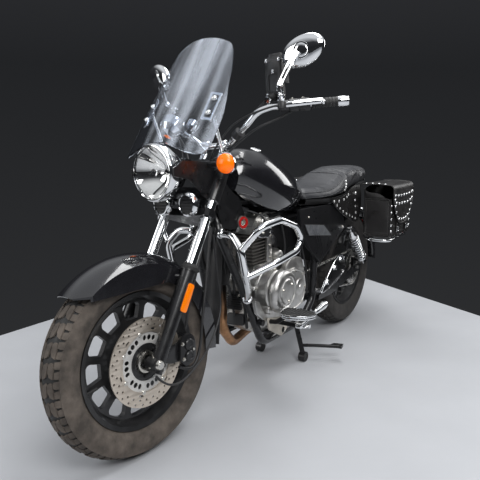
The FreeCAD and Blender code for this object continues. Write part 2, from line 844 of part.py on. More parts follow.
def speedometer():
    """Round instrument above the headlight, facing the rider, on a stalk."""
    centre = at(575, -30, 1012)
    facing = Vector(-0.72, 0, 0.69)
    pod = turned("speedometer_pod", [
        (22, 0), (22, 36), (26, 38), (26, 43), (16, 43), (-6, 40), (-24, 26), (-28, 0),
    ], centre, facing)
    top = s.upper_clamp_at + s.clamp_thick - 6 + s.fit
    stalk = tube("speedometer_stalk", [on_fork(top, -4), on_fork(top + 24, -4),
                                       at(500, -14, 985), centre - facing * 14], 8)
    lamp = turned("warning_lamp_pod", [
        (14, 0), (14, 17), (10, 21), (-14, 21), (-30, 12), (-30, 0),
    ], at(518, 12, 1022), facing)
    arm = rod("warning_lamp_arm", 6, at(524, 12, 1014), at(500, -14, 985))
    node(fuse("speedometer_solid", [pod, stalk, lamp, arm]), "speedometer", steered())


speedometer()


def bar_points(side):
    """The handlebar from its middle to the end of one grip."""
    route = [(398, 0, 953), (398, 62, 953), (406, 160, 1018), (400, 200, 1056),
             (364, 230, 1070), (200, 430, 1080)]
    return [at(x, y * side, z) for x, y, z in route]


def handlebar():
    points = list(reversed(bar_points(1)))[:-1] + bar_points(-1)[1:]
    bar = tube("bar_tube", points, s.bar_radius, 60)
    parts = [bar]
    top = s.upper_clamp_at + s.clamp_thick - 6 + s.fit
    for side in (1, -1):
        parts.append(rod(f"riser_{side}", 13, on_fork(top, -35, 42 * side),
                         on_fork(780, -35, 42 * side)))
        parts.append(cross_rod(f"riser_cap_{side}", 18, 398, 953, 28 * side, 56 * side))
    node(fuse("handlebar_solid", parts), "handlebar", steered())

    inner, outer = bar_points(1)[4:]
    way = (outer - inner).normalize()
    grip = rod("grip_tube", s.grip_radius, outer - way * 122, outer + way * 4)
    grip_hole = rod("grip_hole", s.bar_radius + s.fit, outer - way * 140, outer)
    node(pair("grip_pair", cut("grip_left", grip, grip_hole)), "grips", steered())

    housing = rod("switch_housing", 22, outer - way * 200, outer - way * 126)
    perch_at = outer - way * 222
    perch = rod("lever_perch", 19, perch_at - way * 12, perch_at + way * 26)
    forward = Vector(0.8, 0.6, 0)
    horn_of_perch = rod("perch_arm", 9, perch_at, perch_at + forward * 44)
    lever = tube("lever_blade", [perch_at + forward * 40, perch_at + forward * 46 + way * 40,
                                 perch_at + forward * 38 + way * 136], 6.5)
    lever_ball = doc.addObject("Part::Sphere", "lever_ball")
    lever_ball.Radius = 9
    lever_ball.Placement = Placement(perch_at + forward * 38 + way * 136, Rotation())
    solid = fuse("control_solid", [housing, perch, horn_of_perch, lever, lever_ball])
    hole = rod("control_hole", s.bar_radius + s.fit, outer - way * 240, outer)
    node(pair("hand_control_pair", cut("hand_control_left", solid, hole)), "hand_controls",
         steered())
    return perch_at


perch_at = handlebar()


def phone_holder():
    """A telephone holder clamped to the left run of the handlebar."""
    low, high = bar_points(1)[1], bar_points(1)[2]
    run = (high - low).normalize()
    middle = low + run * 62
    clamp = rod("holder_clamp", s.bar_radius + 8, middle - run * 13, middle + run * 13)
    arm = tube("holder_arm", [middle + Vector(-12, -4, 6), at(362, 132, 1036), at(334, 208, 1106)], 8)
    knuckle = rod("holder_knuckle", 14, at(342, 208, 1100), at(316, 208, 1112))
    back = extrude("holder_back", CROSS, Vector(306, 216, 1172), [
        (-36, -70), (36, -70), (36, 70), (-36, 70)], 14, symmetric=False)
    jaws = [block(f"holder_jaw_{i}", (290, 216 + y, 1172 + z), 22, w, h)
            for i, (y, z, w, h) in enumerate(((-42, -20, 8, 40), (34, -20, 8, 40), (-20, -76, 40, 8),
                                              (-24, 68, 48, 14)))]
    hole = rod("holder_bar_hole", s.bar_radius + s.fit, low + run * 20, high - run * 10)
    solid = fuse("holder_solid", [clamp, arm, knuckle, back] + jaws)
    node(cut("holder_bored", solid, hole), "phone_holder", steered())


phone_holder()


def mirrors():
    """Oval mirrors on flat curved stems."""
    stem = tube("mirror_stem", [perch_at + Vector(0, 0, 19.5), perch_at + Vector(0, 0, 40),
                                at(372, 270, 1140), at(345, 326, 1222)], 7)
    centre = at(328, 344, 1241)
    dome = doc.addObject("Part::Ellipsoid", "mirror_dome")
    dome.Radius1 = 22
    bind(dome, "Radius2", s.mirror_half_height)
    bind(dome, "Radius3", s.mirror_half_width)
    # Radius1 lies along the local z axis, Radius2 along x and Radius3 along y
    front = block("mirror_keep", (-120, -120, -6), 240, 240, 60)
    cap = common("mirror_cap", dome, front)
    turn = Rotation(Vector(0, 0, 1), 0)
    turn = turn.multiply(Rotation(Vector(0, 1, 0), 90)).multiply(Rotation(Vector(0, 0, 1), 180))
    toe_in = Rotation(Vector(0, 0, 1), 14)
    cap.Placement = Placement(centre, toe_in.multiply(Rotation(Vector(1, 0, 0), 20)).multiply(turn))
    node(pair("mirror_pair", fuse("mirror_left", [stem, cap])), "mirrors", steered())


mirrors()


def screen_place():
    """Local frame of the windshield: z up its slope, y sideways, x out of its face."""
    return Placement(at(695, 0, 942), Rotation(Vector(0, 1, 0), -float(s.screen_slope)))


def curved_sheet(name, corners, outer_radius, thick):
    """A piece of a cylinder wall, cut to an outline of (sideways, up) corners."""
    wall = body(name + "_wall")
    revolve(wall, name + "_wall_turned", [
        (outer_radius - thick, -60), (outer_radius - thick, 560), (outer_radius, 560),
        (outer_radius, -60),
    ], role="XZ_Plane", axis="V_Axis")
    wall.Placement = Placement(at(-s.screen_radius, 0, 0), Rotation())
    blank = extrude(name + "_blank", CROSS, Vector(-150, 0, 0), corners, 300, symmetric=False)
    sheet_piece = common(name, wall, blank)
    sheet_piece.Placement = screen_place()
    return sheet_piece


def windshield():
    half = s.screen_half
    right = [(78, 16), (122, 3), (156, 0, 44), (half, 48, 600), (half - 20, 267, 600),
             (141, 408, 46), (100, 448, 330)]
    left = [(-100, 448, 46), (-141, 408, 600), (20 - half, 267, 600), (-half, 48, 44), (-156, 0),
            (-122, 3), (-78, 16, -200)]
    node(curved_sheet("windshield_sheet", right + left, s.screen_radius, s.screen_thick),
         "windshield", steered())

    parts = []
    plate = curved_sheet("screen_plate", [(124, 130), (164, 130), (164, 236), (124, 236)],
                         s.screen_radius - s.screen_thick - s.seat_gap, 5)
    arm_end = screen_place().multVec(at(-40, 140, 180))
    arm = tube("screen_arm", [leg_point(668) + Vector(0, 12, 0), leg_point(668) + Vector(30, 34, 40),
                              arm_end], 6)
    bite = rod("screen_arm_bite", s.stanchion_radius + s.fit, leg_point(600), leg_point(720))
    clamp = rod("screen_clamp", s.stanchion_radius + 6, leg_point(656), leg_point(680))
    parts = [plate, arm, clamp]
    solid = cut("screen_bracket_left", fuse("screen_bracket_solid", parts), bite)
    node(pair("screen_bracket_pair", solid), "windshield_brackets", steered())


windshield()

# ---------------------------------------------------------------- frame
def head_point(along):
    return on_fork(along, -s.axis_behind)


def frame():
    """Head tube, backbone, twin down tubes and cradle, seat rails, and mounts."""
    cradles, room, fittings = [], [], []
    parts = [
        rod("head_tube", s.head_radius, head_point(s.head_start), head_point(s.head_end)),
        tube("backbone", [head_point(612), at(330, 0, 752), at(0, 0, 735), at(-190, 0, 672)], 20),
    ]
    for side in (1, -1):
        y = float(s.cradle_y) * side
        z = float(s.cradle_z)
        down = [head_point(584), on_fork(545, -s.axis_behind - 72, 26 * side),
                at(456, 52 * side, 648), at(335, 92 * side, 380), at(296, y, 280), at(245, y, z),
                at(-95, y, z), at(s.pivot_x, y, s.pivot_z), at(-210, y, 560),
                at(-192, 60 * side, 672)]
        cradles.append(tube(f"cradle_{side}", down, s.main_tube, 70))
        room.append(tube(f"cradle_room_{side}", down, s.main_tube + s.seat_gap, 70))
        rail_y = float(s.rail_y) * side
        rail = [at(-190, 50 * side, 672), at(-260, 80 * side, 668), at(-480, rail_y, 655),
                at(-860, rail_y, 600)]
        parts.append(tube(f"seat_rail_{side}", rail, s.rail_tube, 120))
        parts.append(cross_rod(f"shock_mount_{side}", 9, s.shock_top_x, s.shock_top_z,
                               80 * side, (float(s.shock_y) - 13.1) * side))
        brace = [at(s.pivot_x - 12, y, 400), at(s.shock_top_x, rail_y, s.shock_top_z),
                 at(s.shock_top_x - 60, rail_y, 640)]
        parts.append(tube(f"brace_{side}", brace, s.rail_tube - 3, 90))
        fittings.append(block(f"stand_lug_{side}", (float(s.stand_pivot_x) - 20, 79 * side - 5,
                                                 float(s.stand_pivot_z) - 18), 40, 10, 40))
        fittings.append(cross_rod(f"stand_pin_{side}", 8, s.stand_pivot_x, s.stand_pivot_z,
                               40 * side, 100 * side))
    for name, x, z in (("front_tie", 120, s.cradle_z), ("pivot_tie", s.pivot_x, s.pivot_z)):
        fittings.append(cross_rod(name, 11, x, z, -s.cradle_y, s.cradle_y))
    parts.append(cross_rod("top_tie", 11, -192, 672, -s.cradle_y, s.cradle_y))
    parts.append(cross_rod("rear_tie", 11, -450, 658, -s.rail_y, s.rail_y))
    bore = rod("head_bore", s.stem_radius + s.fit, head_point(440), head_point(760))
    main = cut("frame_bored", fuse("frame_solid", parts), bore)
    node(cut("frame_notched", cut("frame_notched_left", main, room[0]), room[1]), "frame")
    lower = fuse("cradle_solid", cradles + fittings)
    node(cut("cradle_bored", lower, bore), "cradle_tubes")
    box = block("battery_block", (-400, -90, 432), 188, 180, 206)
    node(cut("battery_cut", cut("battery_cut_left", box, room[0]), room[1]), "battery_box")
    return room


cradle_room = frame()


def swingarm():
    """Two arms from the pivot to the rear axle, with a lug for each shock."""
    cross_x, cross_z = s.pivot_x - 66, s.pivot_z - 8
    parts = [cross_rod("arm_pivot", 20, s.pivot_x, s.pivot_z, -64, 64),
             cross_rod("arm_cross", 14, cross_x, cross_z, -s.arm_y, s.arm_y)]
    for side in (1, -1):
        y = float(s.arm_y) * side
        dx = rear_x - float(cross_x)
        dz = rear_z - float(cross_z)
        parts.append(extrude(f"arm_{side}", SIDE, at(cross_x, y, cross_z), [
            (14, -10), (8, 12), (-120, 30), (dx + 30, dz + 22), (dx - 26, dz + 22), (dx - 46, dz),
            (dx - 26, dz - 22), (dx + 30, dz - 22), (-120, -14),
        ], s.arm_thick))
        parts.append(block(f"pivot_web_{side}", (float(cross_x), 52 * side - 5,
                                                 float(cross_z) - 10), 62, 10, 20))
        parts.append(cross_rod(f"shock_foot_{side}", 9, s.shock_foot_x, s.shock_foot_z, y * 0.94,
                               (float(s.shock_y) - 13) * side))
        parts.append(block(f"shock_lug_{side}", (float(s.shock_foot_x) - 14, y - 8, rear_z),
                           28, 16, float(s.shock_foot_z) - rear_z + 12))
    holes = [cross_rod("arm_axle_hole", s.axle_radius + s.fit, rear_x, rear_z, -140, 140),
             cross_rod("arm_pivot_hole", 11 + s.fit, s.pivot_x, s.pivot_z, -140, 140)]
    node(cut("swingarm_bored", fuse("swingarm_solid", parts), fuse("swingarm_holes", holes)),
         "swingarm")
    node(cross_rod("rear_axle_rod", s.axle_radius, rear_x, rear_z, -118, 118), "rear_axle")


swingarm()


def shock_absorbers():
    """Twin shocks: damper, coil spring over it, and an eye at each end."""
    foot = at(s.shock_foot_x, s.shock_y, s.shock_foot_z)
    top = at(s.shock_top_x, s.shock_y, s.shock_top_z)
    way = (top - foot)
    length = way.Length
    wire, radius = float(s.spring_wire), float(s.spring_radius)
    turns = int(s.spring_turns.value)
    start, end = 34.0, length - 46.0
    pitch = (end - start) / turns
    corners = [(8, 0), (8, 12), (start - 8, 14), (start - 8, radius), (start, radius)]
    for i in range(turns):
        at_ = start + pitch * (i + 0.5)
        corners.append((at_ - wire, radius - wire))
        corners.append((at_ - wire * 0.5, radius))
        corners.append((at_ + wire * 0.5, radius))
        corners.append((at_ + wire, radius - wire))
    corners += [(end, radius), (end + 6, radius + 2), (end + 30, radius + 2), (end + 36, 12.8),
                (length - 8, 12), (length - 8, 0)]
    coil = turned("shock_coil", corners, foot, way)
    eyes = [cross_rod("shock_eye_low", 15, s.shock_foot_x, s.shock_foot_z, s.shock_y - 13,
                      s.shock_y + 13),
            cross_rod("shock_eye_high", 15, s.shock_top_x, s.shock_top_z, s.shock_y - 13,
                      s.shock_y + 13)]
    node(pair("shock_pair", fuse("shock_left", [coil] + eyes)), "shock_absorbers")


shock_absorbers()


def rear_fender():
    """Round fender between the seat rails, over the rear wheel."""
    half = s.rear_fender_half
    top = s.rear_tyre_radius + s.rear_fender_gap + s.sheet
    inner_half = half - s.sheet
    crown = 26
    arc_out = (half * half + crown * crown) / (2 * crown)
    arc_in = (inner_half * inner_half + crown * crown) / (2 * crown)
    skin = body("rear_fender_skin")
    low = s.rear_fender_skirt
    revolve(skin, "rear_fender_turned", [
        (half, low), (half, top - crown, arc_out), (-half, top - crown), (-half, low),
        (-inner_half, low), (-inner_half, top - crown - s.sheet, -arc_in),
        (inner_half, top - crown - s.sheet), (inner_half, low),
    ], angle=s.rear_fender_sweep, back=True)
    place = Placement(at(rear_x, 0, rear_z), Rotation(Vector(0, 1, 0), 20))
    node(skin, "rear_fender", place)


rear_fender()


# ---------------------------------------------------------------- engine
chain_front = (-40.0, 348.0)    # gearbox sprocket, side view


def engine():
    """Single upright cylinder on a rounded crankcase, with side covers."""
    case = body("crankcase_body")
    pad(case, "crankcase_pad", [
        (262, 470), (276, 420, 160), (262, 270), (232, 226), (-60, 222), (-104, 250),
        (-118, 330, 150), (-90, 430), (-20, 472), (100, 492), (240, 492),
    ], s.case_half * 2)
    starter = cross_rod("starter_can", 27, 72, 508, 4, 62)
    nose = cross_rod("starter_cap", 20, 72, 508, 58, 70)
    sump = block("sump", (20, -60, 206), 180, 120, 30)
    node(fuse("crankcase_solid", [case, starter, nose, sump]), "engine_case")

    y0 = s.case_half
    left = turned("stator_cover", [
        (0, 0), (0, 74), (30, 80), (82, 78), (96, 62), (120, 62), (120, 50), (114, 48), (114, 0),
    ], at(s.crank_x, y0, s.crank_z), Vector(0, 1, 0))
    chain_case = extrude("chain_cover", SIDE, at(0, y0 + 36, 0), [
        (146, 300), (154, 380), (104, 440), (0, 444), (-78, 414), (-96, 344), (-70, 276),
        (44, 258),
    ], 30)
    output = cross_rod("output_boss", 31.7, chain_front[0], chain_front[1], y0, y0 + 30)
    right = turned("clutch_cover", [
        (0, 0), (0, 96), (30, 98), (56, 84), (66, 60), (66, 0),
    ], at(70, -y0, 372), Vector(0, -1, 0))
    right_crank = turned("crank_cover", [
        (0, 0), (0, 66), (36, 64), (50, 46), (50, 0),
    ], at(s.crank_x - 10, -y0, s.crank_z), Vector(0, -1, 0))
    covers = together("cover_set", [fuse("left_cover_solid", [left, chain_case, output]),
                                    fuse("right_cover_solid", [right, right_crank])])
    node(covers, "engine_covers")

    side = s.barrel_side
    reach = s.fin_reach
    barrel_top = s.barrel_foot + s.fin_count * s.fin_pitch + 6
    core = block("barrel_core", (s.barrel_x - side / 2, -side / 2, s.barrel_foot),
                 side, side, barrel_top - s.barrel_foot)
    fins = [core]
    for i in range(int(s.fin_count.value)):
        fin_z = s.barrel_foot + 8 + s.fin_pitch * i
        fins.append(block(f"fin_{i}", (s.barrel_x - side / 2 - reach, -side / 2 - reach, fin_z),
                          side + reach * 2, side + reach * 2, s.fin_thick))
    node(fuse("barrel_solid", fins), "cylinder_barrel")

    head_solid = extrude("head_block", SIDE, at(s.barrel_x, 0, barrel_top), [
        (-68, 0), (-68, 36), (-48, s.head_height - 10), (-30, s.head_height),
        (30, s.head_height), (48, s.head_height - 10), (68, 36), (68, 0),
    ], side + 20)
    plug = cross_rod("head_side_cover", 30, s.barrel_x, barrel_top + 38, 60, 78)
    node(fuse("head_solid", [head_solid, plug]), "cylinder_head")

    intake = turned("intake_body", [
        (0, 0), (0, 24), (30, 28), (36, 36), (80, 36), (88, 30), (145, 30), (145, 0),
    ], at(s.barrel_x - 68.3, 0, barrel_top + 26), Vector(-1, 0, 0))
    box = block("air_box", (-150, -70, 520), 130, 140, 130)
    node(fuse("intake_solid", [intake, box]), "air_intake")
    return barrel_top


barrel_top = engine()


def exhaust():
    """Header from the front of the head under the cradle, and a tapered muffler."""
    port = at(s.barrel_x + 68.3, -32, barrel_top + 26)
    start, end = at(-262, -184, 168), at(-880, -196, 250)
    way = (end - start).normalize()
    route = [port, port + Vector(46, 0, 0), at(322, -38, 540), at(310, -42, 360),
             at(300, -46, 232), at(215, -60, 148), at(60, -96, 146), at(-110, -126, 146),
             start - way * 66, start]
    header = tube("header_tube", route, 19, 90)
    node(header, "exhaust_pipe")
    start = start + way * 0.3
    can = turned("muffler_can", [
        (0, 0), (0, 24), (40, 40), (90, 46), (550, 46), (590, 40), (620, 34), (620, 24), (560, 22),
        (560, 0),
    ], start, end - start)
    hanger = extrude("muffler_hanger", SIDE, at(0, -142, 0), [
        (-338, 164), (-298, 164), (-238, 194), (-160, 206), (-128, 214), (-126, 238),
        (-232, 226), (-338, 204),
    ], 16)
    boss = cross_rod("muffler_boss", 9, -140, 226, -s.cradle_y - s.main_tube - s.fit, -136)
    node(fuse("muffler_solid", [can, hanger, boss]), "muffler")


exhaust()


def drive_chain():
    """Closed chain from the gearbox to the rear wheel, as one thin loop."""
    big, small, thick = float(s.sprocket_radius) + 5, 32.0, 9.0
    centre_front = chain_front
    centre_rear = (rear_x, rear_z)
    run = math.hypot(centre_front[0] - centre_rear[0], centre_front[1] - centre_rear[1])
    slope = math.atan2(centre_front[1] - centre_rear[1], centre_front[0] - centre_rear[0])

    def loop(extra):
        lean = math.asin((big - small) / run)
        points = []
        for centre, radius, sign in ((centre_rear, big, 1), (centre_front, small, 1),
                                     (centre_front, small, -1), (centre_rear, big, -1)):
            angle = slope + sign * (math.pi / 2 - lean)
            points.append((centre[0] + (radius + extra) * math.cos(angle),
                           centre[1] + (radius + extra) * math.sin(angle)))
        far_front = (centre_front[0] + (small + extra) * math.cos(slope),
                     centre_front[1] + (small + extra) * math.sin(slope))
        far_rear = (centre_rear[0] - (big + extra) * math.cos(slope),
                    centre_rear[1] - (big + extra) * math.sin(slope))
        return [
            points[0],
            points[1] + (-(small + extra),), far_front + (-(small + extra),),
            points[2],
            points[3] + (-(big + extra),), far_rear + (-(big + extra),),
        ]

    outer = extrude("chain_outer", SIDE, at(0, s.chain_y, 0), loop(thick), 12)
    inner = extrude("chain_inner", SIDE, at(0, s.chain_y, 0), loop(0), 30)
    node(cut("chain_loop", outer, inner), "drive_chain")


drive_chain()


# ---------------------------------------------------------------- tank, seat, panels
def tank_section(half, low, middle, shoulder, top):
    """Cross section of the tank: flat bottom, bulging sides, crowned top."""
    return [
        (half * 0.72, low, 150), (half, middle, 150), (half * 0.52, shoulder, 190),
        (-half * 0.52, shoulder, 150), (-half, middle, 150), (-half * 0.72, low),
    ]


def fuel_tank():
    def sections(more):
        return [
            (345, tank_section(62 + more, 792 - more, 850, 902 + more, 912 + more)),
            (262, tank_section(112 + more, 742 - more, 840, 936 + more, 953 + more)),
            (130, tank_section(s.tank_half + more, 700 - more, 800, 904 + more, 924 + more)),
            (-20, tank_section(126 + more, 691 - more, 764, 842 + more, 860 + more)),
            (-150 - more, tank_section(62 + more, 696 - more, 738, 774 + more, 783 + more)),
        ]

    skin = loft("tank_skin", sections(0))
    tunnel = block("tank_tunnel", (-400, -s.tank_tunnel, 500), 900, s.tank_tunnel * 2,
                   s.tunnel_top - 500)
    cap_at, cap_up = at(150, 0, 908), Vector(0.16, 0, 1)
    cap = turned("fuel_cap_body", [
        (0, 0), (0, s.cap_radius - 4), (18, s.cap_radius - 4), (20, s.cap_radius),
        (28, s.cap_radius), (32, s.cap_radius - 5), (33, 0),
    ], cap_at, cap_up)
    well = turned("cap_well", [(-s.fit, 0), (-s.fit, s.cap_radius + s.fit), (60, s.cap_radius + s.fit),
                               (60, 0)], cap_at, cap_up)
    tank = cut("tank_cut", cut("tank_tunnelled", skin, tunnel), well)
    node(tank, "fuel_tank")
    node(cap, "fuel_cap")
    return loft("tank_room", sections(s.seat_gap))


tank_room = fuel_tank()


def seat():
    """Rider and passenger pads on one base, with studded side valances."""
    side = extrude("seat_side", SIDE, Vector(), [
        (-118, 718), (-104, 742), (-130, 772, 60), (-196, 754, -600), (-420, 756, -160),
        (-534, 812, 90), (-600, 842, 900), (-846, 838, 40), (-888, 796), (-880, 762),
        (-620, 734), (-560, 716), (-300, 706),
    ], 400)
    plan = extrude("seat_plan", PLAN, at(0, 0, 600), [
        (-100, -52), (-90, 0), (-100, 52), (-150, 74), (-250, 118, 300), (-360, s.seat_half, 160),
        (-470, s.seat_half - 8), (-560, s.seat_waist), (-700, s.seat_waist - 4, 300),
        (-840, 96, 70), (-888, 50), (-888, -50, 70), (-840, -96, 300), (-700, 4 - s.seat_waist),
        (-560, -s.seat_waist), (-470, 8 - s.seat_half, 160), (-360, -s.seat_half, 300),
        (-250, -118), (-150, -74),
    ], 300, symmetric=False)
    pads = common("seat_pads", side, plan)
    skirt = extrude("seat_skirt", SIDE, at(0, s.skirt_y, 0), [
        (-300, 702), (-560, 570), (-640, 612), (-648, 742), (-560, 730),
    ], 6)
    feet = []
    for x, y, low in ((-300, 84, 679.4), (-509, 101, 664.6)):
        for side in (1, -1):
            feet.append(block(f"seat_foot_{side}_{-x}", (x - 3, y * side - 12, low), 6, 24, 60))
    whole = fuse("seat_whole", [pads, skirt, mirrored("seat_skirt_right", skirt)] + feet)
    node(cut("seat_solid", whole, tank_room), "seat")


seat()


def panels():
    """Side covers below the seat and the covers each side of the steering head."""
    cover = body("side_cover_body")
    pad(cover, "side_cover_pad", [
        (6, 690), (-14, 610, -240), (-110, 500), (-196, 432), (-330, 492), (-474, 560),
        (-440, 640), (-300, 684),
    ], 12, lift=-125.2)
    node(pair("side_cover_pair", cover), "side_covers")
    neck = extrude("neck_cover_left", SIDE, at(0, 52, 0), [
        (424, 836), (470, 765), (440, 664), (352, 650), (296, 700), (336, 770, 200),
    ], 6)
    node(pair("neck_cover_pair", cut("neck_cover_trimmed", neck, cradle_room[0])), "neck_covers")


panels()


def crash_bar():
    """Engine guard: a hoop each side, tied to the down tubes above and below."""
    parts = []
    for side in (1, -1):
        main = [at(456, 62 * side, 648), at(468, 120 * side, 648), at(480, 165 * side, 596),
                at(458, 165 * side, 520), at(400, 140 * side, 440), at(345, 100 * side, 384)]
        hoop = [at(478, 165 * side, 606), at(462, 228 * side, 686), at(362, 250 * side, 702),
                at(262, 255 * side, 668), at(212, 255 * side, 615), at(246, 252 * side, 572),
                at(375, 240 * side, 549), at(452, 172 * side, 506)]
        parts.append(tube(f"guard_post_{side}", main, s.crash_radius, 45))
        parts.append(tube(f"guard_hoop_{side}", hoop, s.crash_radius, 60))
    hoops = [cut(f"guard_{side}", fuse(f"guard_solid_{side}", parts[i:i + 2]),
                 cradle_room[i // 2]) for i, side in ((0, "left"), (2, "right"))]
    node(together("guard_pair", hoops), "crash_bar")


crash_bar()


# ---------------------------------------------------------------- luggage
def bag_blank(name, x_from, length, inset, up):
    """Cross section of a bag, drawn from behind and raised along the machine."""
    y1 = s.bag_inner_y + inset
    y2 = s.bag_inner_y + s.bag_width - inset
    z1 = s.bag_floor_z + inset
    z2 = s.bag_floor_z + s.bag_height + up
    corner = s.bag_corner - inset
    return extrude(name, CROSS, at(x_from, 0, 0), [
        (y1, z1), (y2 - corner, z1, corner), (y2, z1 + corner), (y2, z2), (y1, z2),
    ], length, symmetric=False)


def luggage():
    """Hollow bags on rails, each with a lid hinged along its inner top edge."""
    x0 = s.bag_front_x - s.bag_length
    w = s.bag_wall
    outside = bag_blank("bag_outside", x0, s.bag_length, 0, 0)
    inside = bag_blank("bag_inside", x0 + w, s.bag_length - w * 2, w, 20)
    shell = cut("bag_shell", outside, inside)

    gap, thick = s.lid_gap, s.lid_thick
    y1 = s.bag_inner_y
    y2 = s.bag_inner_y + s.bag_width + gap
    low = s.bag_floor_z + s.bag_height + gap
    high = low + thick
    lid = extrude("bag_lid_left_solid", CROSS, at(x0 - 4, 0, 0), [
        (y1, low), (y2, low), (y2, high - s.lid_drop), (y2 + thick, high - s.lid_drop),
        (y2 + thick, high - thick * 2, thick * 2), (y2 - thick, high), (y1, high),
    ], s.bag_length + 8, symmetric=False)
    hinge_y, hinge_z = y1 - 5, low + thick / 2
    lid_parts, bag_parts = [lid], [shell]
    for i, x in enumerate((x0 + 30, s.bag_front_x - 90)):
        lid_parts.append(rod(f"lid_knuckle_{i}", 4, at(x, hinge_y, hinge_z),
                             at(x + 30, hinge_y, hinge_z)))
        lid_parts.append(block(f"lid_leaf_{i}", (x, hinge_y, hinge_z - 2), 30, 8, 4))
        bag_parts.append(rod(f"bag_knuckle_{i}", 4, at(x + 30.3, hinge_y, hinge_z),
                             at(x + 60, hinge_y, hinge_z)))
        bag_parts.append(block(f"bag_leaf_{i}", (x + 30.3, hinge_y - 2, hinge_z - 30),
                               29.7, 4, 30))
        bag_parts.append(block(f"bag_foot_{i}", (x + 30.3, hinge_y - 2, hinge_z - 34),
                               29.7, 9, 18))
    node(pair("bag_pair", fuse("bag_left", bag_parts)), "saddlebags")
    left = fuse("left_bag_lid_solid", lid_parts)
    node(left, "left_bag_lid")
    node(mirrored("right_bag_lid_solid", left), "right_bag_lid")

    under = s.bag_floor_z - s.rail_radius - s.seat_gap
    x_front, x_rear = s.bag_front_x - 6, x0 + 6
    start_y = s.rail_y + s.rail_tube + s.fit
    route = [at(-668, start_y, 627.8), at(-668, 146, 627.8), at(-666, 158, 540),
             at(-660, 160, under), at(-610, 196, under),
             at(x_front, 222, under), at(x_front, 296, under), at(x_front - 26, 318, under),
             at(x_rear + 26, 318, under), at(x_rear, 296, under), at(x_rear, 210, under),
             at(-846, 160, under), at(-836, 158, 540), at(-830, 146, 604.3),
             at(-830, start_y, 604.3)]
    rail = tube("bag_rail_left", route, s.rail_radius, 30)
    node(pair("bag_rail_pair", rail), "bag_rails")


luggage()


# ---------------------------------------------------------------- foot controls and stand
def foot_controls():
    """Rider's pegs on their hangers, gear lever on the left, brake pedal on the right."""
    left = []
    for name in ("left", "right"):
        hanger = extrude(f"peg_hanger_{name}", SIDE, at(0, 140, 0), [
            (272, 318), (232, 320), (176, 180), (192, 160), (222, 164), (262, 240), (308, 278),
            (312, 306),
        ], 8)
        beside = s.cradle_y + s.main_tube + s.fit
        spacer = cross_rod(f"peg_spacer_{name}", 12, 296, 290, beside, 140)
        foot = cross_rod(f"peg_spacer_low_{name}", 12, 202, s.cradle_z, beside, 140)
        core = cross_rod(f"peg_core_{name}", 11, 254, 308, 130, 196)
        board = extrude(f"peg_board_{name}", PLAN, at(254, 0, 318), [
            (-34, 186), (-44, 250, -120), (-30, 322), (0, 334), (34, 318), (42, 250, -120),
            (34, 186),
        ], 22, symmetric=False)
        left.append([hanger, spacer, foot, core, board])
    gear = [cross_rod("gear_pivot", 10, 210, 238, 132, 188),
            tube("gear_arm", [at(210, 182, 238), at(136, 190, 270), at(76, 206, 322)], 6),
            cross_rod("gear_pad", 11, 76, 324, 200, 268)]
    brake = [cross_rod("brake_pivot", 10, 250, 268, 132, 160),
             tube("brake_arm", [at(250, 154, 268), at(330, 176, 262), at(384, 206, 320)], 6),
             block("brake_pad", (358, 190, 318), 52, 50, 9)]
    left_solid = fuse("left_controls", left[0] + gear)
    right_solid = mirrored("right_controls_m", fuse("right_controls", left[1] + brake))
    node(together("foot_control_pair", [left_solid, right_solid]), "foot_controls")


foot_controls()


def passenger_pegs():
    """Leaf-shaped hanger for the passenger's peg on each side."""
    leaf = extrude("leaf_left", SIDE, at(0, 156, 0), [
        (-425, 432), (-402, 440, 30), (-380, 430, 420), (-250, 360), (-178, 318, 20),
        (-178, 292), (-204, 286, 420), (-330, 330, 420),
    ], 9)
    spacer = cross_rod("leaf_spacer", 10, -192, 304, s.cradle_y + s.main_tube + s.fit, 152)
    peg = cross_rod("passenger_peg", 13, -368, 404, 160, 186)
    node(pair("passenger_peg_pair", fuse("passenger_left", [leaf, peg, spacer])),
         "passenger_pegs")


passenger_pegs()


def centre_stand():
    """Two legs with round feet on a cross tube, and the tread lever on the left leg."""
    px, pz = float(s.stand_pivot_x), float(s.stand_pivot_z)
    fx, fy, fr = float(s.stand_foot_x), float(s.stand_foot_y), float(s.foot_radius)
    parts = [cross_rod("stand_cross", 15, px, pz, -61, 61)]
    for side in (1, -1):
        parts.append(tube(f"stand_leg_{side}", [at(px, 50 * side, pz), at(px + 2, 66 * side, pz - 56),
                                                at(fx, fy * side, fr + 4)], s.stand_tube, 60))
        parts.append(cross_rod(f"stand_foot_{side}", s.foot_radius, fx, fr, (fy - 14) * side,
                               (fy + 14) * side))
    lever = tube("stand_lever", [at(fx - 8, 92, 66), at(fx - 30, 150, 70), at(fx - 70, 252, 72)], 7.5)
    tread = extrude("stand_tread", PLAN, at(0, 0, 66), [
        (fx - 56, 214), (fx - 86, 222), (fx - 98, 262), (fx - 66, 268),
    ], 12, symmetric=False)
    parts += [lever, tread]
    bore = cross_rod("stand_bore", 8 + s.fit, px, pz, -90, 90)
    node(cut("centre_stand_bored", fuse("centre_stand_solid", parts), bore), "centre_stand")


centre_stand()


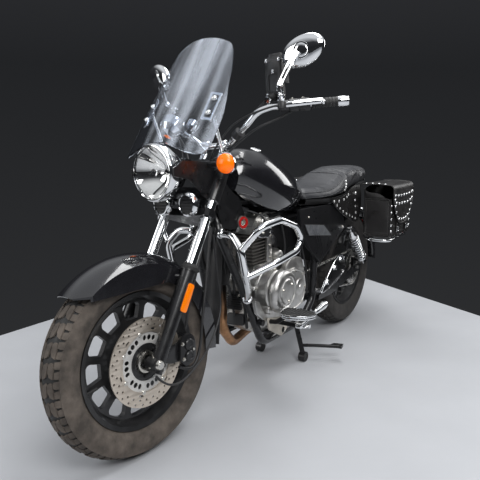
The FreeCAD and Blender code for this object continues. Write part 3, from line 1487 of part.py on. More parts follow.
# ---------------------------------------------------------------- lamps and plate bracket
def rear_lamps():
    """Tail lamp on the fender with an indicator on a stem each side."""
    lamp = extrude("tail_lamp_solid", SIDE, Vector(), [
        (-966, 536), (-982, 548), (-1004, 592, 40), (-1046, 586, 30), (-1060, 556), (-1050, 528),
        (-1006, 512), (-990, 498),
    ], 104)
    skin = turned("tail_lamp_seat", [(-60, 0), (-60, float(s.rear_tyre_radius) + 45.3),
                                     (60, float(s.rear_tyre_radius) + 45.3), (60, 0)],
                  at(rear_x, 0, rear_z), Vector(0, 1, 0))
    bar = cross_rod("indicator_bar", 6, -1016, 548, -112, 112)
    pods = [turned(f"rear_indicator_{i}", [
        (-32, 0), (-32, 26), (-24, 33), (-8, 34), (10, 28), (26, 10), (28, 0),
    ], at(-1016, y, 548), Vector(1, 0, 0)) for i, y in enumerate((140, -140))]
    node(fuse("rear_lamp_solid", [cut("tail_lamp_seated", lamp, skin), bar] + pods), "rear_lamps")


rear_lamps()


def plate_bracket():
    """Bracket below the tail lamp, with two holes for a licence plate."""
    arm = extrude("plate_arm", SIDE, Vector(), [
        (-1006, 511.6), (-1050, 527.6), (-1124, 516), (-1132, 508), (-1132, 402), (-1126, 402),
        (-1126, 503), (-1120, 508), (-1052, 520), (-1010, 505),
    ], 150)
    holes = [rod(f"plate_hole_{i}", 3.5, at(-1200, y, 440), at(-1100, y, 440))
             for i, y in enumerate((60, -60))]
    node(cut("plate_bracket_drilled", arm, fuse("plate_holes", holes)), "plate_bracket")


plate_bracket()


def front_hoses():
    """Brake hose and speed cable, clipped beside the left leg down to the wheel."""
    brake = tube("brake_hose_left", [
        on_fork(487, -52, 72), on_fork(440, -54, 74), on_fork(380, -56, 80), on_fork(320, -60, 84),
        on_fork(250, -68, 84), on_fork(190, -80, 84), on_fork(134, -92, 86)], 4.5)
    node(brake, "brake_hose", steered())


front_hoses()


# ---------------------------------------------------------------- check and export
doc.recompute()

failed = [o.Name for o in doc.Objects if "Invalid" in o.State or "Error" in o.State]
if failed:
    raise RuntimeError(f"objects that failed: {failed}")
for piece in NODES:
    if piece.Shape.isNull() or not piece.Shape.isValid() or not piece.Shape.Solids:
        raise RuntimeError(f"{piece.Label} has no sound shape")

os.makedirs("parts", exist_ok=True)
for piece in NODES:
    piece.Shape.exportStep(f"parts/{piece.Label}.step")
    box = piece.Shape.BoundBox
    print(f"{piece.Label:22s} solids {len(piece.Shape.Solids)}  volume {piece.Shape.Volume / 1000:9.1f} cm3"
          f"  x {box.XMin:7.0f} {box.XMax:7.0f}  y {box.YMin:6.0f} {box.YMax:6.0f}"
          f"  z {box.ZMin:6.0f} {box.ZMax:6.0f}")
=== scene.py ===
# %% [markdown]
# # A cruiser motorcycle, piece by piece
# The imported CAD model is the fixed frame. It carries the hard parts at their real size. This
# script gives them their finishes and adds what a CAD model keeps plain: tread, springs,
# stitching, studs, lamps and hoses. Everything is in metres, X forward, Y to the rider's left
# and Z up.

# %% Load the frame
import json
import math

import bmesh
import bpy
from mathutils import Matrix, Vector, noise
from mathutils.bvhtree import BVHTree


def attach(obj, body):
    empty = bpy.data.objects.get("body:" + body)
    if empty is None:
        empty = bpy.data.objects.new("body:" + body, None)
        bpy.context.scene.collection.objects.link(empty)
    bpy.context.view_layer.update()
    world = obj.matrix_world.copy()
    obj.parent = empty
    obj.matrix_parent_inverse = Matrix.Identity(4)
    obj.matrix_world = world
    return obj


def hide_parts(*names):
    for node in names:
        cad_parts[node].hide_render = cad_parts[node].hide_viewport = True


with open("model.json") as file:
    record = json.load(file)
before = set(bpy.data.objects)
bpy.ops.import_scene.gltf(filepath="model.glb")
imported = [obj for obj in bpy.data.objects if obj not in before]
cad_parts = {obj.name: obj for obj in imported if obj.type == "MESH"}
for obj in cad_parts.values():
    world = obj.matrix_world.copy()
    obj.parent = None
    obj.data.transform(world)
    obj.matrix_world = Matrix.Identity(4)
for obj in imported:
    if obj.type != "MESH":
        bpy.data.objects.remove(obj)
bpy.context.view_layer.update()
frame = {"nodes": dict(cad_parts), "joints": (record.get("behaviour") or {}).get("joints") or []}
nodes = frame["nodes"]

# %% [markdown]
# ## Places on the machine
# Two local frames save a lot of sums. The wheels turn about their axles, and everything on the
# fork turns with the steering, so both frames are read from the joints of the model.

# %% Wheel and fork frames
joints = {joint["name"]: joint for joint in frame["joints"]}
STEER = math.radians(-7.2)          # how far the fork is turned as the machine stands
RAKE = math.radians(31)
head = Vector(joints["steering"]["pos_m"])
steer_turn = (Matrix.Translation(head)
              @ Matrix.Rotation(STEER, 4, Vector(joints["steering"]["axis"]))
              @ Matrix.Translation(-head))
FRONT_AXLE = Vector((0.830, 0, 0.302))
fork_frame = steer_turn @ Matrix.Translation(FRONT_AXLE) @ Matrix.Rotation(-RAKE, 4, "Y")


def wheel_frame(joint):
    """Local y along the axle, local z roughly up."""
    axis = Vector(joint["axis"]).normalized()
    ahead = axis.cross(Vector((0, 0, 1))).normalized()
    turn = Matrix((ahead, axis, ahead.cross(axis))).transposed().to_4x4()
    return Matrix.Translation(Vector(joint["pos_m"])) @ turn


front_wheel = wheel_frame(joints["front_wheel_spin"])
rear_wheel = wheel_frame(joints["rear_wheel_spin"])
chassis = Matrix.Identity(4)

# %% [markdown]
# ## The camera
# The camera stands ahead of the machine on its left, a little above the seat, and looks slightly
# down. Its lens is a short telephoto. The small shift frames the machine without turning the
# camera.

# %% Camera
def aimed(yaw, pitch, roll):
    """Rotation of a camera that looks along a heading, from its three angles."""
    forward = Vector((math.cos(yaw) * math.cos(pitch), math.sin(yaw) * math.cos(pitch),
                      math.sin(pitch)))
    right = Vector((math.sin(yaw), -math.cos(yaw), 0))
    up = right.cross(forward)
    across = right * math.cos(roll) + up * math.sin(roll)
    upward = up * math.cos(roll) - right * math.sin(roll)
    return Matrix((across, upward, -forward)).transposed().to_4x4()


lens = bpy.data.cameras.new("studio_camera")
lens.sensor_width = 36
lens.lens = 42.02
lens.shift_x = -0.0554
lens.shift_y = -0.0285
camera = bpy.data.objects.new("studio_camera", lens)
bpy.context.collection.objects.link(camera)
camera.matrix_world = (Matrix.Translation(Vector((2.0344, 1.2095, 0.9777)))
                       @ aimed(-2.595, -0.154, 0.006))
bpy.context.scene.camera = camera

# %% [markdown]
# ## Light
# Chrome shows what surrounds it, so the room matters more than the lamps. Four large area lamps
# give long soft highlights along the tubes. The world is a dark studio wall with a bright ceiling
# and a grey floor beyond the stage, so plated tubes turn from white to black across their width.

# %% Nodes, lamps and world
def node(tree, kind, **values):
    """A shader node with its sockets or settings filled in."""
    made = tree.nodes.new("ShaderNode" + kind)
    for key, value in values.items():
        if key in made.inputs:
            made.inputs[key].default_value = value
        else:
            setattr(made, key, value)
    return made


def connect(tree, *pairs):
    """Link pairs of an output and an input."""
    for source, target in pairs:
        tree.links.new(source, target)


def area_lamp(name, place, target, size, power):
    light = bpy.data.lights.new(name, "AREA")
    light.shape = "RECTANGLE"
    light.size, light.size_y = size
    light.energy = power
    lamp = bpy.data.objects.new(name, light)
    bpy.context.collection.objects.link(lamp)
    way = (Vector(target) - Vector(place)).to_track_quat("-Z", "Y")
    lamp.matrix_world = Matrix.Translation(Vector(place)) @ way.to_matrix().to_4x4()


area_lamp("key_softbox", (2.2, 2.6, 3.0), (0, 0, 0.6), (2.4, 1.2), 95)
area_lamp("fill_softbox", (3.0, -2.0, 1.8), (0.2, 0, 0.6), (1.6, 2.2), 40)
area_lamp("top_softbox", (-0.4, 0.3, 3.4), (-0.1, 0, 0.5), (3.4, 1.0), 70)
area_lamp("back_softbox", (-2.8, 1.6, 2.0), (-0.4, 0, 0.6), (1.4, 1.8), 35)

world = bpy.data.worlds.new("grey_room")
world.use_nodes = True
bpy.context.scene.world = world
tree = world.node_tree
where, split, ramp = node(tree, "TexCoord"), node(tree, "SeparateXYZ"), node(tree, "ValToRGB")
stops = ((0.30, (0.030, 0.031, 0.033)), (0.56, (0.018, 0.019, 0.021)),
         (0.70, (0.035, 0.036, 0.04)), (0.86, (0.75, 0.77, 0.80)))
while len(ramp.color_ramp.elements) < len(stops):
    ramp.color_ramp.elements.new(0.5)
for stop, (part, colour) in zip(ramp.color_ramp.elements, stops):
    stop.position = part
    stop.color = (*colour, 1)
height = node(tree, "MapRange", **{"From Min": -1})
connect(tree, (where.outputs["Generated"], split.inputs[0]),
        (split.outputs["Z"], height.inputs["Value"]),
        (height.outputs["Result"], ramp.inputs["Fac"]),
        (ramp.outputs["Color"], tree.nodes["Background"].inputs["Color"]))
tree.nodes["Background"].inputs["Strength"].default_value = 0.9
bpy.context.scene.view_settings.view_transform = "Standard"

# %% [markdown]
# ## Finishes
# Every finish is a small node tree on the Principled shader. One helper builds the part that all
# of them share: a slow noise that shifts the colour, a second one that breaks up the gloss, and
# a bump at the grain of the real surface. Object coordinates keep the grain at its real size.

# %% One helper for all finishes
def finish(name, colour, rough, metallic=0.0, coat=0.0, tone=0.12, tone_size=0.06, spread=0.08,
           bump=0.0, grain=0.002, cells=False, **sockets):
    """A finish with colour drift, uneven gloss and a fine grain, sizes in metres."""
    material = bpy.data.materials.new(name)
    material.use_nodes = True
    material.diffuse_color = (*colour, 1)
    tree = material.node_tree
    shader = tree.nodes["Principled BSDF"]
    where = node(tree, "TexCoord").outputs["Object"]
    drift = node(tree, "TexNoise", Scale=1 / tone_size, Detail=4.0, Roughness=0.6)
    tint = node(tree, "ValToRGB")
    for stop, part, amount in zip(tint.color_ramp.elements, (0.35, 0.68), (1 - tone, 1 + tone)):
        stop.position = part
        stop.color = (*[min(1, value * amount) for value in colour], 1)
    gloss = node(tree, "TexNoise", Scale=2.3 / tone_size, Detail=3.0)
    gloss_range = node(tree, "MapRange", **{"From Min": 0.3, "From Max": 0.7,
                                            "To Min": max(0.02, rough - spread),
                                            "To Max": rough + spread})
    connect(tree, (where, drift.inputs["Vector"]), (where, gloss.inputs["Vector"]),
            (drift.outputs["Fac"], tint.inputs["Fac"]),
            (gloss.outputs["Fac"], gloss_range.inputs["Value"]),
            (tint.outputs["Color"], shader.inputs["Base Color"]),
            (gloss_range.outputs["Result"], shader.inputs["Roughness"]))
    if bump:
        if cells:
            pattern = node(tree, "TexVoronoi", Scale=1 / grain, feature="SMOOTH_F1")
            height = pattern.outputs["Distance"]
        else:
            pattern = node(tree, "TexNoise", Scale=1 / grain, Detail=2.0)
            height = pattern.outputs["Fac"]
        relief = node(tree, "Bump", Strength=bump, Distance=grain * 0.5)
        connect(tree, (where, pattern.inputs["Vector"]), (height, relief.inputs["Height"]),
                (relief.outputs["Normal"], shader.inputs["Normal"]))
    shader.inputs["Metallic"].default_value = metallic
    shader.inputs["Coat Weight"].default_value = coat
    for key, value in sockets.items():
        shader.inputs[key.replace("_", " ")].default_value = value
    return material

# %% [markdown]
# ### Metals
# Chrome plate is almost a mirror, with a slight blue cast. Cast covers are softer and grainy, the
# disc and sprocket are bare steel, and the exhaust pipe has turned copper brown with heat.

# %% Metals
chrome = finish("chrome_plate", (0.86, 0.87, 0.88), 0.06, 1.0, tone=0.03, spread=0.03)
cast_alloy = finish("cast_alloy", (0.60, 0.59, 0.57), 0.36, 1.0, tone=0.16, tone_size=0.05,
                    bump=0.25, grain=0.0012)
barrel_alloy = finish("barrel_paint", (0.17, 0.16, 0.15), 0.50, 0.7, tone=0.25, bump=0.3,
                      grain=0.0012)
steel = finish("brushed_steel", (0.60, 0.59, 0.57), 0.30, 1.0, tone=0.10, tone_size=0.05)
disc_steel = finish("disc_steel", (0.70, 0.62, 0.53), 0.38, 0.9, tone=0.05, tone_size=0.05,
                    spread=0.04)
carrier_alloy = finish("machined_carrier", (0.62, 0.61, 0.59), 0.45, 0.4, tone=0.08,
                       tone_size=0.05)
bright_nickel = finish("bright_nickel", (0.80, 0.80, 0.79), 0.24, 0.6, tone=0.05)
zinc = finish("zinc_bolts", (0.62, 0.60, 0.55), 0.28, 1.0, tone=0.12, tone_size=0.03)
hot_copper = finish("heated_pipe", (0.46, 0.25, 0.13), 0.36, 0.9, tone=0.35, tone_size=0.05)

# %% [markdown]
# ### Paint and cast wheels
# The tank, fenders and covers are gloss black over a clear coat. Frame tubes are a plainer
# enamel, and the wheels are satin black.

# %% Paint
gloss_black = finish("gloss_black_paint", (0.010, 0.010, 0.012), 0.16, coat=1.0, tone=0.2,
                     spread=0.03, Coat_Roughness=0.03)
frame_enamel = finish("frame_enamel", (0.010, 0.010, 0.011), 0.32, coat=0.2, tone=0.3,
                      bump=0.05, grain=0.004, Specular_IOR_Level=0.35)
satin_alloy = finish("satin_black_wheel", (0.018, 0.018, 0.019), 0.36, 0.2, coat=0.2, tone=0.35,
                     tone_size=0.03, bump=0.06, grain=0.002)
cover_black = finish("satin_black_cover", (0.009, 0.009, 0.010), 0.34, tone=0.2, bump=0.04,
                     grain=0.004, Specular_IOR_Level=0.22)
black_plastic = finish("moulded_plastic", (0.018, 0.018, 0.019), 0.48, tone=0.25, bump=0.12,
                       grain=0.0008)

# %% [markdown]
# ### Rubber, leather and clear parts
# The front tyre is brown-grey with road dust, the seat cover is a soft charcoal leather and the
# bags are a harder black leather. The windshield is clear acrylic, and the lamp lenses are glass
# and coloured plastic.

# %% Soft and clear
dusty_rubber = finish("dusty_tyre", (0.085, 0.070, 0.058), 0.82, tone=0.45, tone_size=0.05,
                      bump=0.35, grain=0.0015)
tyre_rubber = finish("tyre_rubber", (0.030, 0.027, 0.025), 0.78, tone=0.4, tone_size=0.06,
                     bump=0.3, grain=0.0015)
grip_rubber = finish("grip_rubber", (0.014, 0.014, 0.014), 0.62, tone=0.3, bump=0.2, grain=0.001)
hose_rubber = finish("hose_rubber", (0.016, 0.016, 0.017), 0.45, tone=0.3, bump=0.1, grain=0.0012)
seat_leather = finish("seat_leather", (0.034, 0.035, 0.039), 0.47, tone=0.18, tone_size=0.09,
                      bump=0.22, grain=0.0016, cells=True)
bag_leather = finish("bag_leather", (0.016, 0.015, 0.015), 0.38, tone=0.35, tone_size=0.07,
                     spread=0.12, bump=0.35, grain=0.0019, cells=True)
# The pale base colour shows wherever transmission drops, which paints reflection streaks on the
# screen further down.
acrylic = finish("clear_acrylic_painted_reflections", (0.80, 0.85, 0.93), 0.03, tone=0.03, spread=0.01,
                 Transmission_Weight=0.8, IOR=1.32)
lamp_glass = finish("lamp_glass", (0.98, 0.98, 0.97), 0.03, tone=0.01, spread=0.01,
                    Transmission_Weight=1.0, IOR=1.2)
# Painted glow: the emission makes the unlit amber lenses and side reflectors glow faintly orange.
amber = finish("amber_plastic_painted_glow", (1.0, 0.22, 0.0), 0.22, tone=0.06, tone_size=0.02, spread=0.04,
               Transmission_Weight=0.25, Emission_Color=(1.0, 0.2, 0.0, 1), Emission_Strength=0.25)
red_plastic = finish("red_plastic", (0.55, 0.01, 0.008), 0.18, tone=0.08, spread=0.03,
                     Transmission_Weight=0.3)
mirror_glass = finish("mirror_glass", (0.9, 0.9, 0.9), 0.02, 1.0, tone=0.01, spread=0.01)

# %% [markdown]
# ## Finishes on the CAD pieces
# A piece of the frame that already has its real shape keeps its mesh and takes a finish.

# %% Dress the CAD nodes
DRESS = {
    chrome: "fork_stanchions headlight_shell handlebar mirrors windshield_brackets crash_bar "
            "bag_rails horns muffler speedometer fuel_cap shock_absorbers",
    cast_alloy: "engine_case engine_covers cylinder_head hand_controls brake_calliper",
    barrel_alloy: "cylinder_barrel",
    steel: "brake_disc rear_sprocket drive_chain front_axle rear_axle passenger_pegs "
           "foot_controls",
    hot_copper: "exhaust_pipe",
    gloss_black: "front_fender rear_fender fuel_tank",
    cover_black: "side_covers neck_covers battery_box air_intake",
    frame_enamel: "frame cradle_tubes swingarm centre_stand fork_clamps lamp_bracket fork_sliders "
                  "plate_bracket",
    satin_alloy: "front_rim rear_rim",
    black_plastic: "phone_holder",
    dusty_rubber: "front_tyre",
    tyre_rubber: "rear_tyre",
    grip_rubber: "grips",
    hose_rubber: "brake_hose",
    seat_leather: "seat",
    bag_leather: "saddlebags left_bag_lid right_bag_lid",
    acrylic: "windshield",
    lamp_glass: "headlight_lens",
    amber: "front_indicators",
    red_plastic: "rear_lamps",
}
for material, names in DRESS.items():
    for name in names.split():
        mesh = nodes[name].data
        mesh.materials.clear()
        mesh.materials.append(material)
bare = set(nodes) - {name for names in DRESS.values() for name in names.split()}
print("CAD nodes without a finish:", sorted(bare))

# %% [markdown]
# ## The floor
# A pale floor with very little texture, wide enough for the shadow. It ends a little way behind
# the machine, where the dark wall of the studio would stand, so black paint has something dark
# to reflect. It isn't part of the object.

# %% Floor
floor_paint = finish("floor_paint", (0.42, 0.43, 0.45), 0.55, tone=0.03, tone_size=0.5)
floor_mesh = bpy.data.meshes.new("floor")
corner, wall_way = Vector((-2.26, -1.32, 0)), Vector((0.474, 0.880, 0))
floor_mesh.from_pydata([corner, (9, -1.32, 0), (9, 9, 0), corner + wall_way * 11], [],
                       [(0, 1, 2, 3)])
floor = bpy.data.objects.new("floor", floor_mesh)
floor_mesh.materials.append(floor_paint)
bpy.context.collection.objects.link(floor)

# %% [markdown]
# ## Tools for shapes
# Most hard parts of a motorcycle are turned on a lathe, bent from tube or cut from plate. Three
# small helpers cover these: one spins a profile, one sweeps a round bar along a bent path, and
# one cuts a plate with holes, which a flat curve fills by itself.

# %% Add a finished piece
def add_piece(name, mesh, material, body="chassis", replaces=(), sharp=38):
    """Give a mesh, or a list of them, its finish, shading, body and the CAD nodes it replaces."""
    mesh = merged(*mesh) if isinstance(mesh, list) else mesh
    mesh.name = name
    if material:
        mesh.materials.clear()
        mesh.materials.append(material)
    mesh.polygons.foreach_set("use_smooth", [True] * len(mesh.polygons))
    mesh.set_sharp_from_angle(angle=math.radians(sharp))
    piece = bpy.data.objects.new(name, mesh)
    bpy.context.collection.objects.link(piece)
    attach(piece, body)
    if replaces:
        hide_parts(*replaces)
    return piece


def healed(mesh):
    """Merge doubled points and turn every face outwards."""
    work = bmesh.new()
    work.from_mesh(mesh)
    bmesh.ops.remove_doubles(work, verts=work.verts, dist=1e-6)
    bmesh.ops.dissolve_degenerate(work, dist=1e-7, edges=work.edges)
    bmesh.ops.recalc_face_normals(work, faces=work.faces)
    work.to_mesh(mesh)
    work.free()
    return mesh


def mesh_of(points, faces):
    mesh = bpy.data.meshes.new("shape")
    mesh.from_pydata(points, [], faces)
    return mesh


def loft(rings):
    """A skin through closed rings of points, with both ends closed."""
    count, last = len(rings[0]), len(rings) - 1
    faces = [(i * count + j, i * count + (j + 1) % count, (i + 1) * count + (j + 1) % count,
              (i + 1) * count + j) for i in range(last) for j in range(count)]
    faces += [tuple(range(count)), tuple(range(last * count, (last + 1) * count))]
    return healed(mesh_of([point for one in rings for point in one], faces))


def merged(*meshes):
    """Several meshes as one."""
    work = bmesh.new()
    for mesh in meshes:
        work.from_mesh(mesh)
    result = bpy.data.meshes.new("merged")
    work.to_mesh(result)
    work.free()
    return result


def flipped(mesh):
    """The same part for the other side of the machine."""
    copy = mesh.copy()
    copy.transform(Matrix.Diagonal((1, -1, 1, 1)))
    copy.flip_normals()
    return copy


def both(*meshes):
    """Meshes of the left side, and the same on the right."""
    mesh = merged(*meshes)
    return merged(mesh, flipped(mesh))


# %% Places
def mm(x, y, z):
    """A point on the machine, in millimetres."""
    return Vector((x, y, z)) / 1000


def route(*points):
    """Points in millimetres as one path."""
    return [mm(*point) for point in points]


def mirrored(points):
    """A path on the left as the same path on the right."""
    return [Vector((p.x, -p.y, p.z)) for p in points]


def moved(x, y, z):
    return Matrix.Translation(mm(x, y, z))


def turned(degrees, axis):
    return Matrix.Rotation(math.radians(degrees), 4, axis)


def steered(x, y, z):
    """A direction on the machine, turned with the fork."""
    return steer_turn.to_3x3() @ Vector((x, y, z))


def fork_at(along, ahead, y=0):
    """A point by its way up the fork from the front axle, ahead of it and sideways."""
    return fork_frame @ mm(ahead, y, along)


def aim(place, way):
    """A frame whose z axis points along a direction."""
    turn = Vector(way).to_track_quat("Z", "Y").to_matrix().to_4x4()
    return Matrix.Translation(place) @ turn


# %% Lathe
def lathe(profile, steps=40, place=chassis):
    """Spin (along, radius) pairs, in millimetres, about the z axis of a frame."""
    count = len(profile)
    points, faces = [], []
    for step in range(steps):
        angle = 2 * math.pi * step / steps
        for along, radius in profile:
            points.append(mm(radius * math.cos(angle), radius * math.sin(angle), along))
        one, two = step * count, (step + 1) % steps * count
        for i in range(count - 1):
            faces.append((one + i, one + i + 1, two + i + 1, two + i))
    mesh = mesh_of(points, faces)
    mesh.transform(place)
    return healed(mesh)


def rod(start, end, radius):
    """The lathe profile of a plain round bar."""
    return [(start, 0), (start, radius), (end, radius), (end, 0)]


# %% Bent bar and cut plate
def evaluated(thing):
    """The mesh that an object's curve or modifiers give. The object is used up."""
    if not thing.users_collection:
        bpy.context.collection.objects.link(thing)
    result = bpy.data.meshes.new_from_object(
        thing.evaluated_get(bpy.context.evaluated_depsgraph_get()))
    bpy.data.objects.remove(thing)
    return result


def bent(points, bend):
    """Straight runs joined by arcs of one radius, as a tube bender leaves them."""
    path = [points[0]]
    for before, corner, after in zip(points, points[1:], points[2:]):
        back, on = before - corner, after - corner
        half = back.angle(on) / 2
        reach = min(0.45 * min(back.length, on.length), bend / math.tan(half))
        radius = reach * math.tan(half)
        middle = corner + (back.normalized() + on.normalized()).normalized() * (
            radius / math.sin(half))
        one = corner + back.normalized() * reach - middle
        two = corner + on.normalized() * reach - middle
        for step in range(9):
            path.append(middle + one.normalized().slerp(two.normalized(), step / 8) * radius)
    return path + [points[-1]]


def bar(path, radius, sides=3, free=False):
    """A round bar along a path, all in metres. A free bar is a smooth line; radius 0 is a wire."""
    curve = bpy.data.curves.new("bar", "CURVE")
    curve.dimensions = "3D"
    curve.bevel_depth, curve.bevel_resolution, curve.use_fill_caps = radius, sides, True
    spline = curve.splines.new("NURBS" if free else "POLY")
    spline.points.add(len(path) - 1)
    for point, place in zip(spline.points, path):
        point.co = (*place, 1)
    if free:
        spline.order_u, spline.use_endpoint_u, spline.resolution_u = 3, True, 8
    return evaluated(bpy.data.objects.new("bar", curve))


def sweep(points, radius, bend=None, sides=4, place=chassis):
    """A round bar along points: bent like a tube, or as a smooth free line."""
    points = [place @ point for point in points]
    path = bent(points, bend / 1000) if bend else points
    return healed(bar(path, radius / 1000, sides, not bend))


def cord(points, radius, place=chassis):
    """A thin free line: a cable, a welt or a piping cord."""
    return sweep(points, radius, None, 3, place)


def cut_plate(loops, thick, edge=0.4, place=chassis):
    """A plate from closed outlines in millimetres; an outline inside another is a hole."""
    curve = bpy.data.curves.new("plate", "CURVE")
    curve.dimensions = "2D"
    curve.fill_mode = "BOTH"
    curve.extrude = thick / 2000 - edge / 1000
    curve.bevel_depth = edge / 1000
    curve.bevel_resolution = 1
    curve.offset = -edge / 1000
    for loop in loops:
        spline = curve.splines.new("POLY")
        spline.points.add(len(loop) - 1)
        spline.use_cyclic_u = True
        for point, (x, y) in zip(spline.points, loop):
            point.co = (x / 1000, y / 1000, 0, 1)
    mesh = evaluated(bpy.data.objects.new("plate", curve))
    mesh.transform(place)
    return healed(mesh)


def circle(radius, steps=24, x=0, y=0):
    return [(x + radius * math.cos(2 * math.pi * i / steps),
             y + radius * math.sin(2 * math.pi * i / steps)) for i in range(steps)]


def box(x, y, radius=0, at=(0, 0)):
    """A rectangle of half sizes x and y, with rounded corners."""
    corners = [(at[0] + x * i, at[1] + y * j) for i, j in ((-1, -1), (1, -1), (1, 1), (-1, 1))]
    return rounded(corners, radius) if radius else corners


def rounded(corners, radius=6, steps=4):
    """An outline with its corners rounded."""
    loop = []
    for i, corner in enumerate(corners):
        corner = Vector(corner).to_2d()
        back = Vector(corners[i - 1]).to_2d() - corner
        on = Vector(corners[(i + 1) % len(corners)]).to_2d() - corner
        reach = min(radius, 0.45 * back.length, 0.45 * on.length)
        one = corner + back.normalized() * reach
        two = corner + on.normalized() * reach
        for step in range(steps + 1):
            t = step / steps
            point = one * (1 - t) ** 2 + corner * 2 * t * (1 - t) + two * t * t
            loop.append((point.x, point.y))
    return loop

# %% [markdown]
# ### Parts that repeat
# Bolts, studs, tread blocks and chain links repeat. Two Geometry Nodes trees place them: one
# repeats its own mesh round an axis, the other puts a small part on marked points, turned along
# the direction each point carries. Both end in real geometry with its material set.

# %% Two trees that repeat a part
def start_tree(name, *sockets):
    tree = bpy.data.node_groups.new(name, "GeometryNodeTree")
    for label, kind in (("Geometry", "Geometry"), *sockets):
        tree.interface.new_socket(label, in_out="INPUT", socket_type="NodeSocket" + kind)
    tree.interface.new_socket("Geometry", in_out="OUTPUT", socket_type="NodeSocketGeometry")
    return tree, tree.nodes.new("NodeGroupInput").outputs


def end_tree(tree, shape, material):
    real = tree.nodes.new("GeometryNodeRealizeInstances")
    paint = tree.nodes.new("GeometryNodeSetMaterial")
    out = tree.nodes.new("NodeGroupOutput")
    connect(tree, (shape, real.inputs[0]), (real.outputs[0], paint.inputs["Geometry"]),
            (material, paint.inputs["Material"]), (paint.outputs[0], out.inputs[0]))


ring_tree, given = start_tree("repeat_round_axis", ("Count", "Int"), ("Material", "Material"))
line = ring_tree.nodes.new("GeometryNodeMeshLine")
index = ring_tree.nodes.new("GeometryNodeInputIndex")
share = node(ring_tree, "Math", operation="DIVIDE")
turn = node(ring_tree, "Math", operation="MULTIPLY")
turn.inputs[1].default_value = 2 * math.pi
angles = node(ring_tree, "CombineXYZ")
spots = ring_tree.nodes.new("GeometryNodeInstanceOnPoints")
line.inputs["Offset"].default_value = (0, 0, 0)
connect(ring_tree, (given["Count"], line.inputs["Count"]), (index.outputs[0], share.inputs[0]),
        (given["Count"], share.inputs[1]), (share.outputs[0], turn.inputs[0]),
        (turn.outputs[0], angles.inputs["Z"]), (line.outputs[0], spots.inputs["Points"]),
        (given["Geometry"], spots.inputs["Instance"]),
        (angles.outputs[0], spots.inputs["Rotation"]))
end_tree(ring_tree, spots.outputs[0], given["Material"])

spot_tree, given = start_tree("part_on_points", ("Part", "Object"), ("Size", "Float"),
                              ("Material", "Material"))
part_info = spot_tree.nodes.new("GeometryNodeObjectInfo")
way = spot_tree.nodes.new("GeometryNodeInputNamedAttribute")
way.data_type = "FLOAT_VECTOR"
way.inputs["Name"].default_value = "way"
facing = spot_tree.nodes.new("FunctionNodeAlignRotationToVector")
facing.axis = "Z"
spots = spot_tree.nodes.new("GeometryNodeInstanceOnPoints")
connect(spot_tree, (given["Part"], part_info.inputs["Object"]),
        (way.outputs[0], facing.inputs["Vector"]), (given["Geometry"], spots.inputs["Points"]),
        (part_info.outputs["Geometry"], spots.inputs["Instance"]),
        (facing.outputs[0], spots.inputs["Rotation"]), (given["Size"], spots.inputs["Scale"]))
end_tree(spot_tree, spots.outputs[0], given["Material"])


def run_tree(tree, mesh, **settings):
    holder = bpy.data.objects.new("holder", mesh)
    modifier = holder.modifiers.new("repeat", "NODES")
    modifier.node_group = tree
    for item in tree.interface.items_tree:
        if item.in_out == "INPUT" and item.name in settings:
            modifier[item.identifier] = settings[item.name]
    return evaluated(holder)


def round_axis(mesh, count, material, place=chassis):
    """A part repeated round the z axis of a frame."""
    result = run_tree(ring_tree, mesh, Count=count, Material=material)
    result.transform(place)
    return result


def on_spots(part, spots, material, size=1.0):
    """A small part on (place, direction) spots."""
    points = bpy.data.meshes.new("spots")
    points.from_pydata([place for place, _ in spots], [], [])
    ways = points.attributes.new("way", "FLOAT_VECTOR", "POINT")
    ways.data.foreach_set("vector", [v for _, way in spots for v in Vector(way).normalized()])
    holder = bpy.data.objects.new("small_part", part)
    bpy.context.collection.objects.link(holder)
    result = run_tree(spot_tree, points, Part=holder, Size=size, Material=material)
    bpy.data.objects.remove(holder)
    return result


def facing_side(y, places, side=1):
    """Spots at one y, from (x, z) places in millimetres, that face the left or the right."""
    return [(mm(x, y, z), (0, side, 0)) for x, z in places]


def polar(radius, degrees):
    """A place on a circle round the origin."""
    return (radius * math.cos(math.radians(degrees)), radius * math.sin(math.radians(degrees)))


def ring(count, radius, turn=0, x=0, z=0):
    """Places spread evenly round a circle."""
    return [(x + a, z + b) for a, b in [polar(radius, 360 / count * k + turn)
                                        for k in range(count)]]


# %% Small hardware
bolt = merged(lathe([(-1, 0), (-1, 6.4), (0, 6.4), (0.8, 6.2), (0.8, 4.6), (0.8, 0)], 12),
              lathe([(0.6, 0), (0.6, 4.9), (4.2, 4.9), (4.8, 4.3), (4.8, 0)], 6))
socket_bolt = lathe([(0, 0), (0, 5), (4.6, 5), (5.2, 4.4), (5.2, 2.4), (2.6, 2.2), (2.6, 0)], 12)
stud = lathe([(-0.6, 0), (-0.6, 4.6), (0.4, 4.5), (1.8, 3.6), (2.8, 2.0), (3.1, 0)], 10)

# %% [markdown]
# ## Tyres
# A tyre is a round carcass with rubber blocks on it. The carcass is a lathe profile with its
# crown lowered by the depth of the tread. One pitch of blocks is drawn flat, as the way round
# and the way across, and wrapped over the crown, and Geometry Nodes repeat it.

# %% Tread blocks over a crown
def crown_height(across, outer, shoulder):
    """Radius of the tread at a distance from the middle plane, in millimetres."""
    side = min(1.35, abs(across) / shoulder)
    return outer - 14 * side ** 2.2


def tread_pitch(blocks, outer, shoulder, depth):
    """Blocks are lists of (across, start, end) stations, in millimetres."""
    def corners(across, start, end):
        top = crown_height(across, outer, shoulder)
        return [mm(radius * math.cos(along / outer), radius * math.sin(along / outer), across)
                for radius, along in ((top, start), (top, end), (top - depth, end + 0.7),
                                      (top - depth, start - 0.7))]

    return merged(*[loft([corners(*station) for station in block]) for block in blocks])


def wheel_side(frame_, along=0):
    """A frame whose z axis is the axle, for lathe profiles."""
    return frame_ @ turned(-90, "X") @ moved(0, 0, along)


